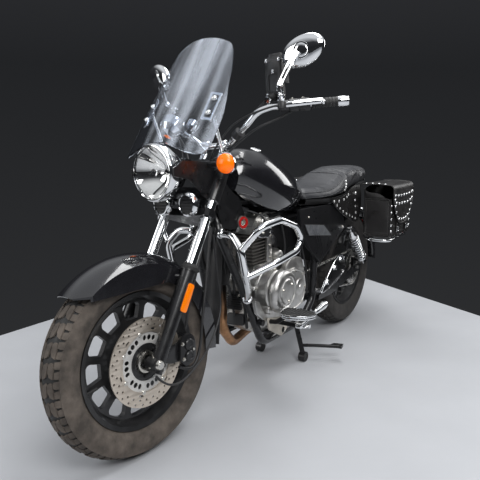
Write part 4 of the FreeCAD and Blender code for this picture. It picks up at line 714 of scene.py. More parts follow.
def make_tyre(name, outer, half, flange, rim_half, pitches, rows, material, wheel, body):
    shoulder = half * 0.72
    depth = 5.5
    crown = [(y, crown_height(y, outer, shoulder) - depth)
             for y in [shoulder * k / 6 for k in range(-6, 7)]]
    middle = (outer + flange) / 2
    side = [(rim_half - 8.4, flange - 11), (rim_half - 5.6, flange + 1.2),
            (rim_half - 1, flange + 5), (rim_half + 4, flange + 10),
            (rim_half + 4.6, flange + 12), (rim_half + 7, flange + 17), (half - 2.6, middle - 12),
            (half - 0.8, middle - 3), (half - 0.7, middle + 6), (half - 2.4, middle + 18),
            (half - 4.8, middle + 25), (half - 5, middle + 27), (half - 8.6, outer - 19)]
    profile = ([(-y, r) for y, r in side] + crown + [(y, r) for y, r in reversed(side)]
               + [(half - 13, middle), (-(half - 13), middle), (-side[0][0], side[0][1])])
    place = wheel_side(wheel)
    carcass = lathe(profile, 128, place)
    pitch = 2 * math.pi * outer / pitches
    blocks = [[(y, start * pitch, end * pitch) for y, start, end in row] for row in rows]
    floor = ([(y, radius + 0.5) for y, radius in crown]
             + [(y, radius - 1) for y, radius in reversed(crown)])
    add_piece(name.replace("rubber", "grooves"), lathe(floor + floor[:1], 128, place),
              grip_rubber, body)
    tread = round_axis(tread_pitch(blocks, outer, shoulder, depth + 1), pitches, material, place)
    add_piece(name, [carcass, tread], material, body, [name.replace("_rubber", "")], sharp=30)


def shifted(row, share, side=1):
    return [(y * side, start + share, end + share) for y, start, end in row]


# rows of one block each: the way across, then its start and end as shares of the pitch
diamond = [(14, -0.36, 0.02), (20, -0.46, 0.26), (25, -0.44, 0.30), (29, -0.30, 0.34)]
front_rows = [[(-11, 0.10, 0.30), (-6, -0.28, 0.42), (6, -0.42, 0.28), (11, -0.30, -0.10)],
              diamond, [(-y, -end, -start) for y, start, end in diamond]]
rear_rows = []
for share in (0.0, 0.5):
    rear_rows.append(shifted([(-10, -0.20, 0.22), (-2, -0.16, 0.26), (10, -0.22, 0.20)], share))
    for side in (1, -1):
        front_rows.append(shifted([(31 if share else 33, -0.02, 0.30), (37, -0.05, 0.32),
                                   (43, -0.08, 0.31), (48, -0.10, 0.28)], share, side))
        rear_rows += [shifted(row, share, side) for row in (
            [(14, -0.02, 0.38), (24, 0.04, 0.46), (30, 0.06, 0.44)],
            [(35, 0.10, 0.50), (44, 0.14, 0.54), (52, 0.16, 0.50), (57, 0.18, 0.48)])]
make_tyre("front_tyre_rubber", 302, 55, 213, 40, 34, front_rows, dusty_rubber, front_wheel,
          "front_wheel")
make_tyre("rear_tyre_rubber", 307, 65, 204, 50, 30, rear_rows, tyre_rubber, rear_wheel,
          "rear_wheel")

# %% [markdown]
# ## Brake disc
# The disc is a bare steel ring, drilled in staggered rows, on a plain alloy carrier with groups
# of oval holes. A flat outline with holes gives both, and bolts hold the carrier to the hub.

# %% Disc, carrier and hub collar
def oval(place, long, wide, degrees):
    """A slanted oval hole."""
    turn = Matrix.Rotation(math.radians(degrees), 2)
    spots = [turn @ Vector((x * long, y * wide)) for x, y in circle(1, 12)]
    return [(place[0] + spot.x, place[1] + spot.y) for spot in spots]


hub = wheel_side(front_wheel)
drilled = [circle(137.6, 96), circle(92, 60)]
for radius, shift in ((129, 0), (115, 180 / 28)):
    drilled += [circle(3.4, 10, *place) for place in ring(28, radius, shift)]
drilled += [oval(place, 9, 3.2, 60 * i + 102) for i, place in enumerate(ring(6, 102, 12))]
add_piece("disc_ring", cut_plate(drilled, 4, 0.3, hub @ moved(0, 0, 65)), disc_steel,
          "front_wheel", ["brake_disc"])
windows = [circle(93.5, 60), circle(57.5, 48)]
for shift, size in ((-13.5, 6.6), (0, 7.6), (13.5, 6.6)):
    windows += [oval(place, 8.4, size, 360 / 7 * i + shift)
                for i, place in enumerate(ring(7, 75, shift))]
add_piece("disc_carrier", cut_plate(windows, 3.6, 0.5, hub @ moved(0, 0, 61.5)), carrier_alloy,
          "front_wheel")
add_piece("hub_drive", lathe([(52.2, 22), (52.2, 35), (58, 35.6), (66, 33), (68, 29), (68, 22),
                              (52.2, 22)], 48, hub), zinc, "front_wheel")


def round_hub(part, count, radius, shift, along, material):
    """A small part repeated round the front hub."""
    outwards = hub.to_3x3() @ Vector((0, 0, 1))
    return on_spots(part, [(hub @ mm(x, y, along), outwards)
                           for x, y in ring(count, radius, shift)], material)


button = lathe([(-2.5, 0), (-2.5, 7), (2, 7), (3, 5.8), (3, 0)], 16)
add_piece("disc_fixings", round_hub(button, 7, 92.5, 25.7, 65, zinc), zinc, "front_wheel")
add_piece("hub_flange", [round_hub(bolt, 5, 45, 10, 60.4, satin_alloy), lathe(
    [(52.2, 36), (52.2, 60), (59.4, 60.6), (60.4, 57), (60.4, 40), (59, 36.4), (52.2, 36)], 48,
    hub)], satin_alloy, "front_wheel")

# %% [markdown]
# ## Valves
# A valve stands in the well of each rim.

# %% Valves
for name, wheel, well, degrees in (("front", front_wheel, 188, 15), ("rear", rear_wheel, 179, 75)):
    stem = wheel_side(wheel) @ turned(degrees, "Z")
    valve = lathe([(-3, 0), (-3, 7), (2, 6.5), (5, 4), (24, 3.6), (24, 4.2), (33, 4), (34, 0)], 14,
                  aim(stem @ mm(well, 0, 13), stem.to_3x3() @ Vector((-1, 0, 0.25))))
    add_piece(name + "_valve", valve, grip_rubber, name + "_wheel")

# %% [markdown]
# ## Headlight
# A headlight is a chrome shell with a deep reflector, a bulb with a small cap and a clear glass.
# The reflector is a parabola, so it throws the studio's lights back in rings.

# %% Headlight reflector, bulb and rim
lamp_frame = steer_turn @ moved(704, 0, 871) @ turned(90, "Y")
bowl = [(-9.6, 82)] + [(-66 + 54 * (r / 80) ** 2, r) for r in range(78, 12, -8)] + [(-66, 11)]
back = [(along - 1.5, radius + 0.6) for along, radius in reversed(bowl)]
for name, profile, steps, material in (
        ("headlight_reflector", bowl + back + [bowl[0]], 48, mirror_glass),
        ("headlight_bulb", [(-66, 0), (-66, 9), (-44, 9), (-42, 7.5), (-30, 7), (-20, 5),
                            (-16, 0)], 20, lamp_glass),
        ("bulb_shade", [(-20, 0), (-20, 10), (-12, 13), (-9.5, 13), (-9.5, 0)], 24, chrome),
        ("headlight_rim", [(-34, 89.2), (-34, 92.4), (-20, 94), (-6, 93.6), (0, 91.5), (2.4, 88),
                           (2.4, 85.4), (-1, 84.4), (-3, 87.6), (-3.6, 91.1), (-34, 89.2)], 72,
         chrome)):
    add_piece(name, lathe(profile, steps, lamp_frame), material, "steering")

# %% [markdown]
# ## Indicators
# Each front indicator is a chrome bowl with a domed amber lens in front of it.

# %% Front indicators
bowls, domes = [], []
for side in (1, -1):
    stand = aim(fork_at(650, 60, 185 * side), steered(1, 0, 0))
    bowls.append(lathe([(-33, 0), (-32, 11), (-20, 25), (-4, 33.5), (4, 35.8), (8, 35.8),
                        (8, 32.6), (0, 32), (0, 0)], 40, stand))
    bowls.append(sweep([fork_at(650, 60, 96 * side), fork_at(650, 60, 164 * side)], 7.6, 5))
    domes.append(lathe([(1, 0), (1, 32.2), (12, 32), (20, 29.6), (27, 23.5), (31.5, 13), (33, 0)],
                       40, stand))
    for r in (10, 18, 26):
        fall = (r / 32) ** 2 * 13
        domes.append(lathe([(30.4 - fall, r - 0.8), (32.8 - fall, r), (30.4 - fall, r + 0.8)], 40,
                           stand))
add_piece("indicator_bowls", bowls, chrome, "steering", ["front_indicators"])
add_piece("indicator_lenses", domes, amber, "steering")

# %% [markdown]
# ## Horns
# Two chrome horns with louvred black fronts sit below the headlight.

# %% Horns
shells, grilles = [], []
for side in (1, -1):
    stand = steer_turn @ moved(610, 62 * side, 762) @ turned(90, "Y")
    shells.append(lathe([(-23, 0), (-23, 12), (-19, 12), (-19, 30), (-12, 34), (-6, 39.6),
                         (6, 39.8), (12, 36), (13.4, 32), (11, 30.5), (6, 30.5), (6, 0)], 48,
                        stand))
    for up in (-21, -10.5, 0, 10.5, 21):
        half = math.sqrt(30.5 ** 2 - (abs(up) + 2.4) ** 2)
        grilles.append(cut_plate([box(half, 2.4)], 3.0, 0.8,
                                 stand @ turned(90, "Z") @ moved(0, up, 9.6)))
    grilles.append(lathe(rod(5, 6.6, 30.4), 40, stand))
add_piece("horn_shells", shells, chrome, "steering", ["horns"])
add_piece("horn_grilles", grilles, black_plastic, "steering")

# %% [markdown]
# ## Instruments
# The round instrument has a black dial with a ring of white marks and a red needle. It faces the
# rider, so the studio view sees only its chrome case.

# %% Speedometer dial
dial_white = finish("dial_white", (0.80, 0.80, 0.78), 0.5, tone=0.03)
face_way = Vector((-0.72, 0, 0.69)).normalized()
dial_at = steer_turn @ (mm(575, -30, 1012) + face_way * 0.026)
dial_frame = aim(dial_at, steer_turn.to_3x3() @ face_way)
dial = lathe(rod(-0.6, 0.6, 37.4), 48, dial_frame)
add_piece("dial", dial, black_plastic, "steering")
mark = cut_plate([box(3.5, 0.6, at=(31.5, 0))], 0.6, 0.1, moved(0, 0, 0.8))
add_piece("dial_marks", round_axis(mark, 36, dial_white, dial_frame), dial_white, "steering")
needle = cut_plate([[(-6, -1.2), (30, -0.4), (30, 0.4), (-6, 1.2)]], 0.8, 0.1,
                   dial_frame @ Matrix.Rotation(2.4, 4, "Z") @ moved(0, 0, 1.6))
add_piece("dial_needle", needle, red_plastic, "steering")

# %% [markdown]
# ## Fork details
# The sliders carry dust seals, clamp bolts at the axle and a reflector on the outer side.
# The calliper is a black casting with two piston housings, held by silver bolts.

# %% Fork trim
side_way = steered(0, 1, 0)
leg_ahead = fork_frame.to_3x3() @ Vector((1, 0, 0))
leg_up = fork_frame.to_3x3() @ Vector((0, 0, 1))


def leg(along, ahead=0, side=1, out=0):
    """A point on a fork leg: up the leg, ahead of its middle line, outwards."""
    return fork_at(along, ahead - 10, side * (100 + out))


reflectors, holders, seals, leg_bolts = [], [], [], []
for side in (1, -1):
    face = Matrix.Translation(leg(217, -6, side, 24.5)) @ Matrix((
        leg_ahead, leg_up, side_way * side)).transposed().to_4x4()
    reflectors.append(cut_plate([rounded([(-13, -46), (13, -46), (15, 46), (-11, 46)], 9)], 6, 1.6,
                                face @ moved(0, 0, 4)))
    holders.append(cut_plate([rounded([(-15, -49), (15, -49), (17, 49), (-13, 49)], 10)], 5, 0.8,
                             face))
    seals.append(lathe([(0, 20), (0, 26.6), (4, 28), (12, 28), (15, 25), (22, 22), (22, 18.8),
                        (0, 18.8)], 32, aim(leg(303, 0, side), leg_up)))
    leg_bolts += [(leg(along, 21, side), leg_ahead) for along in (-14, 14)]
add_piece("side_reflectors", reflectors, amber, "steering")
add_piece("reflector_holders", holders, black_plastic, "steering")
add_piece("dust_seals", seals, grip_rubber, "steering")
axle_nuts = on_spots(lathe([(-2, 0), (-2, 16), (5, 15), (9, 12), (9, 7), (6, 6), (6, 0)], 24),
                     [(fork_at(0, 0, side * 120), side_way * side) for side in (1, -1)], zinc)
add_piece("leg_bolts", [on_spots(bolt, leg_bolts, zinc), axle_nuts], zinc, "steering")

# %% Calliper
calliper_frame = steer_turn @ moved(698, 96, 306) @ turned(-90, "X")


def casting(corners, radius, thick, edge, out):
    """A plate of the calliper, some way outwards from its middle."""
    return cut_plate([rounded(corners, radius)], thick, edge, calliper_frame @ moved(0, 0, out))


add_piece("calliper_casting", [
    casting([(-34, 34), (-36, -30), (-20, -52), (8, -54), (30, -38), (34, 30), (12, 50),
             (-14, 48)], 14, 17, 4, 4),
    casting([(-26, 20), (-28, -22), (-10, -44), (10, -44), (26, -24), (28, 22), (8, 42),
             (-10, 40)], 12, 14, 4, -41),
    casting([(-6, -42), (-6, 38), (-20, 44), (-34, 30), (-35, -26), (-22, -42)], 6, 60, 3, -16),
    *[lathe([(0, 0), (0, 19), (6, 18.4), (8, 16), (8, 10), (6.4, 9), (6.4, 0)], 28,
            calliper_frame @ moved(-4, y, 11.4)) for y in (-19, 20)],
    casting([(10, -34), (10, 30), (60, 28), (96, 14), (120, -4), (104, -24), (60, -30)], 10, 11,
            1.5, -4)], frame_enamel, "steering", ["brake_calliper"])
calliper_bolts = [(calliper_frame @ mm(x, y, 12.3), side_way)
                  for x, y in ((22, -26), (20, 24), (-22, 2))]
add_piece("calliper_bolts", on_spots(bolt, calliper_bolts, zinc), zinc, "steering")

# %% Cables down the left leg
# The brake pipe ends at the calliper, and the speedometer cable loops below it to the hub.
brake_pipe = route((511, 60, 674), (551, 70, 534), (597, 82, 393), (630, 90, 267), (681, 96, 228),
                   (733, 100, 261))
speed_cable = route((506, 66, 650), (497, 62, 525), (485, 66, 395), (533, 84, 334),
                    (592, 92, 271), (664, 104, 239), (738, 122, 222), (798, 132, 228),
                    (842, 130, 261), (847, 124, 275))
add_piece("front_cables", [cord(brake_pipe, 5, steer_turn), cord(speed_cable, 3.6, steer_turn)],
          hose_rubber, "steering")

# %% [markdown]
# ## Bent chrome tube
# The handlebar, the engine guard and the rails under the bags are round bar, bent and plated.
# They follow the same points as the CAD tubes, with smooth arcs, so highlights run along them.

# %% Handlebar and its risers
bar_half = route((398, 0, 953), (398, 62, 953), (406, 160, 1018), (400, 200, 1056),
                 (364, 230, 1070), (200, 430, 1080))
bar_route = bar_half[:0:-1] + mirrored(bar_half)[1:]
risers = []
for side in (1, -1):
    foot, top = fork_at(706.2, -35, 42 * side), fork_at(780, -35, 42 * side)
    risers.append(lathe([(0, 0), (0, 17), (6, 17), (10, 13), (66, 12.6), (70, 15), (74, 0)], 28,
                        aim(foot, top - foot)))
    cap = steer_turn @ mm(398, 28 * side, 953)
    risers.append(lathe([(0, 11), (0, 16), (3, 18.4), (25, 18.4), (28, 16), (28, 11), (0, 11)], 28,
                        aim(cap, side_way * side)))
add_piece("bent_handlebar", [sweep(bar_route, 11, 60, 6, steer_turn), *risers], chrome, "steering",
          ["handlebar"])

# %% Grips, levers and switches
PERCH = 222                       # how far the lever's perch is from the bar's outer end


def hand(side):
    """For one hand: the bar's outer end, the way out along it and the way ahead of its lever."""
    outer = mm(200, 430 * side, 1080)
    return (outer, (outer - mm(364, 230 * side, 1070)).normalized(), Vector((0.8, 0.6 * side, 0)))


rubber, plated, castings, fixings = [], [], [], []
for side in (1, -1):
    outer, way, forward = hand(side)

    def on_bar(back, outer=outer, way=way):
        return outer - way * back / 1000

    stand = aim(steer_turn @ on_bar(122), steered(*way))
    profile = [(0, 11.2), (0, 19), (3, 19.6), (5, 17.2)]
    for k in range(9):
        start = 10 + 11.5 * k
        profile += [(start, 16.6), (start + 1, 15.4), (start + 2.6, 15.4), (start + 3.6, 16.6)]
    profile = [p for p in profile if p[0] < 86] + [(88, 16.8), (90, 11.2), (0, 11.2)]
    rubber.append(lathe(profile, 36, stand))
    plated.append(lathe([(89, 11.2), (89, 16.4), (91, 17.4), (119, 17.4), (122, 16), (125, 16),
                         (126, 14), (126, 9), (122, 8), (122, 0)], 36, stand))
    housing = aim(steer_turn @ on_bar(198), steered(*way))
    castings.append(lathe([(0, 11.2), (0, 19), (3, 21.4), (30, 21.4), (32, 20.2), (34, 21.4),
                           (68, 21.4), (72, 19), (72, 11.2), (0, 11.2)], 32, housing))
    perch = on_bar(PERCH)
    perch_frame = aim(steer_turn @ (perch - way * 0.012), steered(*way))
    castings.append(lathe([(0, 11.2), (0, 17), (3, 18.6), (34, 18.6), (37, 17), (37, 11.2),
                           (0, 11.2)], 32, perch_frame))
    castings.append(sweep([perch, perch + forward * 0.022, perch + forward * 0.046], 8.6, 30, 5,
                          steer_turn))
    blade = sweep([perch + forward * ahead + way * out for ahead, out in (
        (0.038, 0), (0.046, 0.020), (0.046, 0.060), (0.040, 0.110), (0.038, 0.134))], 5.4, None, 5)
    height = perch.z
    for vertex in blade.vertices:                # a blade is tall and thin
        vertex.co.z = height + (vertex.co.z - height) * 1.75
    blade.transform(steer_turn)
    plated.append(blade)
    plated.append(lathe([(-9, 0), (-8, 4), (-5, 7.6), (0, 9), (5, 7.6), (8, 4), (9, 0)], 24,
                        aim(steer_turn @ (perch + forward * 0.038 + way * 0.137), steered(*way))))
    pivot = aim(steer_turn @ (perch + forward * 0.040 + Vector((0, 0, -0.012))), (0, 0, 1))
    castings.append(lathe([(0, 0), (0, 13), (2, 15), (20, 15), (24, 12), (26, 6), (26, 0)], 24,
                          pivot))
    fixings.append((steer_turn @ (perch + forward * 0.044 + Vector((0, 0, 0.0086))), (0, 0, 1)))
    for back in (186, 150):
        fixings.append((steer_turn @ (on_bar(back) + Vector((0, 0, 0.0212))), (0, 0, 1)))
add_piece("grip_covers", rubber, grip_rubber, "steering", ["grips"])
add_piece("levers_and_end_caps", plated, chrome, "steering", ["hand_controls"])
add_piece("switch_housings", castings, black_plastic, "steering")
add_piece("control_screws", on_spots(socket_bolt, fixings, zinc, 0.8), zinc, "steering")

# %% [markdown]
# ## Mirrors
# The mirrors are chrome ovals on flat curved stems. The stem is a strip with two slots, and the
# glass sits in a shallow rim on the rider's side.

# %% Mirrors
def mirror(side):
    """One mirror: a domed back, its rim, and a flat stem."""
    stand = (steer_turn @ moved(328, 344 * side, 1241) @ turned(14 * side, "Z")
             @ turned(20 * side, "X") @ turned(90, "Y"))
    profile = [(-6, 0), (-6, 47), (-4, 49.4), (0, 50), (4, 49.2), (9, 46.5), (14, 41), (18, 31),
               (20.6, 17), (21.6, 0)]
    stretch = Matrix.Diagonal((1, 1.56, 1, 1))
    back = lathe(profile, 56)
    back.transform(stand @ stretch)
    pane = lathe([(-6.8, 0), (-6.8, 45), (-5.6, 45.4), (-5.6, 0)], 56)
    pane.transform(stand @ stretch)
    outer, way, _ = hand(1)
    foot = outer - way * PERCH / 1000
    path = [foot + mm(0, 0, 16), foot + mm(0, 0, 44)] + route(
        (374, 272, 1126), (364, 300, 1178), (360, 322, 1212), (355, 341, 1238))
    line = bar([steer_turn @ Vector((p.x, p.y * side, p.z)) for p in path], 0, free=True)
    dots = [v.co.copy() for v in line.vertices]

    def rail(low, high, start, end):
        """Part of the strip's width, lofted along part of its length."""
        last, rings = len(dots) - 1, []
        for i in range(round(start * last), round(end * last) + 1):
            run = (dots[min(i + 1, last)] - dots[max(i - 1, 0)]).normalized()
            flat = run.cross(side_way).normalized()
            wide = run.cross(flat).normalized() * (0.0118 - 0.002 * math.sin(math.pi * i / last))
            rings.append([dots[i] + wide * a + flat * 0.0032 * b
                          for a, b in ((low, -1), (high, -1), (high, 1), (low, 1))])
        return loft(rings)

    stem = merged(rail(-1, -0.52, 0, 1), rail(0.52, 1, 0, 1), *[
        rail(-0.6, 0.6, u, v) for u, v in ((0, 0.14), (0.42, 0.5), (0.8, 1))])
    base = lathe([(-30, 0), (-30, 10), (-4, 10), (0, 12), (6, 11), (10, 7), (10, 0)], 24,
                 aim(steer_turn @ Vector((foot.x, foot.y * side, foot.z + 0.034)), (0, 0, 1)))
    disc = lathe([(12, 29), (17.4, 29), (20.6, 27.6), (21.4, 25), (20.6, 22.4), (21.4, 20.4),
                  (22.2, 19), (22.6, 10), (23, 0)], 48)
    disc.transform(stand)
    return merged(back, stem, base, disc), pane


backs, panes = zip(mirror(1), mirror(-1))
add_piece("mirror_backs", list(backs), chrome, "steering", ["mirrors"])
add_piece("mirror_panes", list(panes), mirror_glass, "steering")

# %% [markdown]
# ## Cables
# Clutch, throttle and brake lines leave the levers, loop down ahead of the handlebar and go in
# behind the headlight. They are held at both ends, so each is one smooth line.

# %% Cables and hoses
lines = []
for side in (1, -1):
    outer, way, forward = hand(side)
    perch = outer - way * PERCH / 1000
    lines.append(cord(
        [perch + forward * 0.044 - way * 0.006, perch + forward * 0.050 - way * 0.030]
        + route((455, 150 * side, 1030), (482, 92 * side, 962), (500, 60 * side, 900),
                (492, 44 * side, 850)), 3.4, steer_turn))
    lines.append(cord(
        [outer - way * 0.190 - mm(0, 0, 20)]
        + route((352, 250 * side, 1030), (398, 192 * side, 1004), (428, 120 * side, 950),
                (470, 64 * side, 880), (496, 52 * side, 850)), 4.2, steer_turn))
add_piece("control_cables", lines, hose_rubber, "steering")

# %% Engine guard
post = route((456, 62, 648), (468, 120, 648), (480, 165, 596), (458, 165, 520), (400, 140, 440),
             (345, 100, 384))
hoop = route((478, 165, 606), (462, 228, 686), (362, 250, 702), (262, 255, 668), (212, 255, 615),
             (246, 252, 572), (375, 240, 549), (452, 172, 506))
guard, clamps = [], []
for half in ((post, hoop), (mirrored(post), mirrored(hoop))):
    guard += [sweep(half[0], 12.5, 45, 6), sweep(half[1], 12.5, 60, 6)]
for side in (1, -1):
    for place, way in ((mm(456, 64 * side, 648), (0.1, side, 0)),
                       (mm(350, 103 * side, 390), (0.6, 0.4 * side, 0.7))):
        clamps.append(lathe([(-8, 12), (-8, 17), (-5, 19), (5, 19), (8, 17), (8, 12),
                             (-8, 12)], 24, aim(place, way)))
add_piece("bent_guard", guard, chrome, "chassis", ["crash_bar"])
add_piece("guard_clamps", clamps, chrome)

# %% [markdown]
# ## Shock absorbers
# Each rear shock is a rod and a body between two rubber-bushed eyes, inside an open chrome
# spring. The spring is a helix swept with a round wire, closed up at both ends.

# %% Shocks
def helix(low, high, radius, turns, closed=0.8, steps=18):
    """Points of a spring between two ends, with its end turns closed up."""
    run = high - low
    stand = aim(low, run)
    points = []
    total = int(turns * steps)
    for i in range(total + 1):
        turn = i / steps
        t = i / total
        ends = min(turn, turns - turn, closed) / closed
        rise = t if ends >= 1 else (t * ends + (0 if t < 0.5 else 1) * (1 - ends))
        points.append(stand @ Vector((radius * math.cos(2 * math.pi * turn),
                                      radius * math.sin(2 * math.pi * turn), run.length * rise)))
    return points


springs, bodies, dampers, eyes = [], [], [], []
for side in (1, -1):
    top, foot = mm(-494, 150 * side, 546), mm(-667, 150 * side, 360)
    way = (top - foot).normalized()
    low, high = foot + way * 0.030, top - way * 0.046
    springs.append(healed(bar(helix(low, high, 0.0235, 10.5), 0.0042)))
    bodies.append(lathe([(8, 0), (8, 12), (22, 15), (24, 26), (29, 27.6), (33, 27.6), (36, 16),
                         (36, 0)], 32, aim(foot, way)))
    dampers.append(lathe([(34, 0), (34, 16), (130, 15.4), (132, 8), (210, 8), (210, 0)], 28,
                         aim(foot, way)))
    bodies.append(lathe([(8, 0), (8, 11), (22, 13), (32, 20), (44, 27.6), (47, 27.6), (50, 24),
                         (60, 14), (60, 0)], 32, aim(top, -way)))
    for eye in (top, foot):
        bodies.append(lathe([(-12, 9.3), (-12, 16), (-10, 17.6), (10, 17.6), (12, 16), (12, 9.3),
                             (-12, 9.3)], 28, aim(eye, (0, 1, 0))))
        eyes.append(lathe([(-13.4, 8), (-13.4, 13.5), (14.4, 13.5), (14.4, 8)], 24,
                          aim(eye, (0, side, 0))))
        eyes.append(lathe([(13, 0), (13, 12), (16, 12), (16, 7.6), (24, 7.6), (25, 6), (25, 0)], 6,
                          aim(eye, (0, side, 0))))
for name, parts, material, stood_for in (
        ("springs", springs, chrome, ["shock_absorbers"]), ("bodies", bodies, chrome, []),
        ("dampers", dampers, cover_black, []), ("bushes", eyes, frame_enamel, [])):
    add_piece("shock_" + name, parts, material, "chassis", stood_for)

# %% [markdown]
# ## Drive chain
# A roller chain is pairs of waisted plates on pins. One outer and one inner link are drawn once,
# and Geometry Nodes put them along the loop round the two sprockets.

# %% Chain
chain_front, chain_rear = (-40.0, 348.0), (-700.0, 311.0)
big, small = 89 + 4.5, 32 + 4.5
run = math.hypot(chain_front[0] - chain_rear[0], chain_front[1] - chain_rear[1])
slope = math.atan2(chain_front[1] - chain_rear[1], chain_front[0] - chain_rear[0])
lean = math.asin((big - small) / run)
loop = []


def arc(centre, radius, start, end, steps):
    for i in range(steps + 1):
        angle = start + (end - start) * i / steps
        loop.append(Vector((centre[0] + radius * math.cos(angle),
                            centre[1] + radius * math.sin(angle))))


arc(chain_front, small, slope + math.pi / 2 - lean, slope - math.pi / 2 + lean, 24)
arc(chain_rear, big, slope - math.pi / 2 + lean, slope - 3 * math.pi / 2 - lean, 36)
loop.append(loop[0])
lengths = [0.0]
for a, b in zip(loop, loop[1:]):
    lengths.append(lengths[-1] + (b - a).length)
link_count = 2 * round(lengths[-1] / 15.875 / 2)
pitch = lengths[-1] / link_count


def along_chain(distance):
    distance %= lengths[-1]
    for i in range(len(loop) - 1):
        if lengths[i + 1] >= distance:
            t = (distance - lengths[i]) / (lengths[i + 1] - lengths[i])
            return loop[i].lerp(loop[i + 1], t)
    return loop[-1]


def link(half_width):
    waist = [(-11.5, 0), (-9.8, 3.6), (-5, 3.9), (0, 3.0), (5, 3.9), (9.8, 3.6), (11.5, 0),
             (9.8, -3.6), (5, -3.9), (0, -3.0), (-5, -3.9), (-9.8, -3.6)]
    turn = turned(90, "Y") @ turned(90, "X")
    return merged(*[cut_plate([waist], 1.4, 0.25, turn @ moved(0, 0, out))
                    for out in (half_width, -half_width)])


outer_spots, inner_spots, pin_spots = [], [], []
for i in range(link_count):
    a, b = along_chain(i * pitch), along_chain((i + 1) * pitch)
    mid, way = (a + b) / 2, (b - a)
    spot = (mm(mid.x, 78, mid.y), (way.x, 0, way.y))
    (outer_spots if i % 2 else inner_spots).append(spot)
    pin_spots.append((mm(a.x, 78, a.y), (0, 1, 0)))
pin = merged(lathe(rod(-5.8, 5.8, 2.4), 8),
             lathe([(-3.2, 2.4), (-3.2, 4.6), (3.2, 4.6), (3.2, 2.4)], 10))
add_piece("roller_chain", [on_spots(link(4.9), outer_spots, steel),
                           on_spots(link(3.5), inner_spots, steel),
                           on_spots(pin, pin_spots, steel)], steel, "chassis", ["drive_chain"])

# %% [markdown]
# ## Rear sprocket
# The sprocket is a toothed plate with round lightening holes and five bolts.

# %% Sprocket
TEETH = 36
teeth = [polar(radius, 360 * (i + share) / TEETH) for i in range(TEETH) for share, radius in (
    (0.0, 84), (0.22, 85.2), (0.40, 90.2), (0.60, 90.2), (0.78, 85.2))]
holes = [circle(27, 36)] + [circle(9.5, 20, *place) for place in ring(6, 60)]
add_piece("toothed_sprocket", [
    cut_plate([teeth] + holes, 5.6, 0.6, wheel_side(rear_wheel, 78)),
    lathe([(60.2, 27), (60.2, 39.6), (75.4, 39.6), (75.4, 27), (60.2, 27)], 40,
          wheel_side(rear_wheel))], steel, "rear_wheel", ["rear_sprocket"])
sprocket_bolts = [(wheel_side(rear_wheel, 80.4) @ mm(x, y, 0), (0, 1, 0)) for x, y in ring(5, 42)]
add_piece("sprocket_bolts", on_spots(bolt, sprocket_bolts, zinc), zinc, "rear_wheel")

# %% [markdown]
# ## Leather saddlebags
# Each bag is a stiff leather tub with a floppy gusset at its mouth. Its outline is drawn in plan
# and lifted row by row, with the floor rounded in and the faces slightly full. The mouth dips
# towards the outside, so the dark inside shows below the lid. A flap lid is one sheet that runs
# over the top and down the outer face, with a curved lower edge, piping, stitches and studs.

# %% Sheets from a function of two numbers
def thickened(mesh, thick):
    """A sheet with its thickness added inwards, in metres."""
    holder = bpy.data.objects.new("sheet", mesh)
    solid = holder.modifiers.new("solid", "SOLIDIFY")
    solid.thickness, solid.offset = thick, -1
    return healed(evaluated(holder))


def surface(shape, across, down, thick=0.0):
    """A grid of points from shape(s, t), s and t from 0 to 1, given a thickness in metres."""
    points = [shape(i / across, j / down) for j in range(down + 1) for i in range(across + 1)]
    faces = [(j * (across + 1) + i, j * (across + 1) + i + 1, (j + 1) * (across + 1) + i + 1,
              (j + 1) * (across + 1) + i) for j in range(down) for i in range(across)]
    mesh = mesh_of(points, faces)
    area = sum(face.area for face in mesh.polygons)
    return thickened(mesh, thick) if thick else mesh, area


def wrinkle(place, size, depth):
    """A slow bump of leather, in metres."""
    return noise.noise(place / size) * depth


def on_side(y):
    """A frame for plates that face the rider's left: plate x ahead, plate y up."""
    return Matrix(((1, 0, 0, 0), (0, 0, 1, y / 1000), (0, 1, 0, 0), (0, 0, 0, 1)))


def spread(path, gap, start=0.0):
    """Evenly spaced (place, direction) spots along a line of points."""
    spots, left = [], start
    for a, b in zip(path, path[1:]):
        length = (b - a).length
        while left <= length:
            spots.append((a.lerp(b, left / length), (b - a).normalized()))
            left += gap
        left -= length
    return spots


stitch = lathe([(-2.0, 0), (-1.5, 0.5), (0, 0.75), (1.5, 0.5), (2.0, 0)], 5)
thread = finish("waxed_thread", (0.11, 0.105, 0.10), 0.6, tone=0.2, tone_size=0.02)

# %% Bag tub
BAG_REAR, BAG_FRONT, BAG_IN, BAG_OUT, BAG_LOW = -868, -568, 184, 330, 498
FLOOR_EDGE = 26                   # radius of the floor's rounded edge
LID_SEAM = 692                    # height of the seam below the mouth
plan = rounded([(BAG_FRONT, BAG_IN), (BAG_FRONT, BAG_OUT), (BAG_REAR, BAG_OUT),
                (BAG_REAR, BAG_IN)], 17, 5)
dense = []
for (x0, y0), (x1, y1) in zip(plan, plan[1:] + plan[:1]):
    pieces = max(1, round(math.hypot(x1 - x0, y1 - y0) / 11))
    dense += [(x0 + (x1 - x0) * k / pieces, y0 + (y1 - y0) * k / pieces) for k in range(pieces)]


def mouth(x, y):
    """How high the leather reaches: the mouth dips towards the outside."""
    share = (y - BAG_IN) / (BAG_OUT - BAG_IN)
    front = max(0, min(1, (x + 640) / 60))
    dip = 10 + 46 * share ** 0.8 + 5 * math.sin(share * 9)
    return 752 - front * dip - (1 - front) * 34 * share


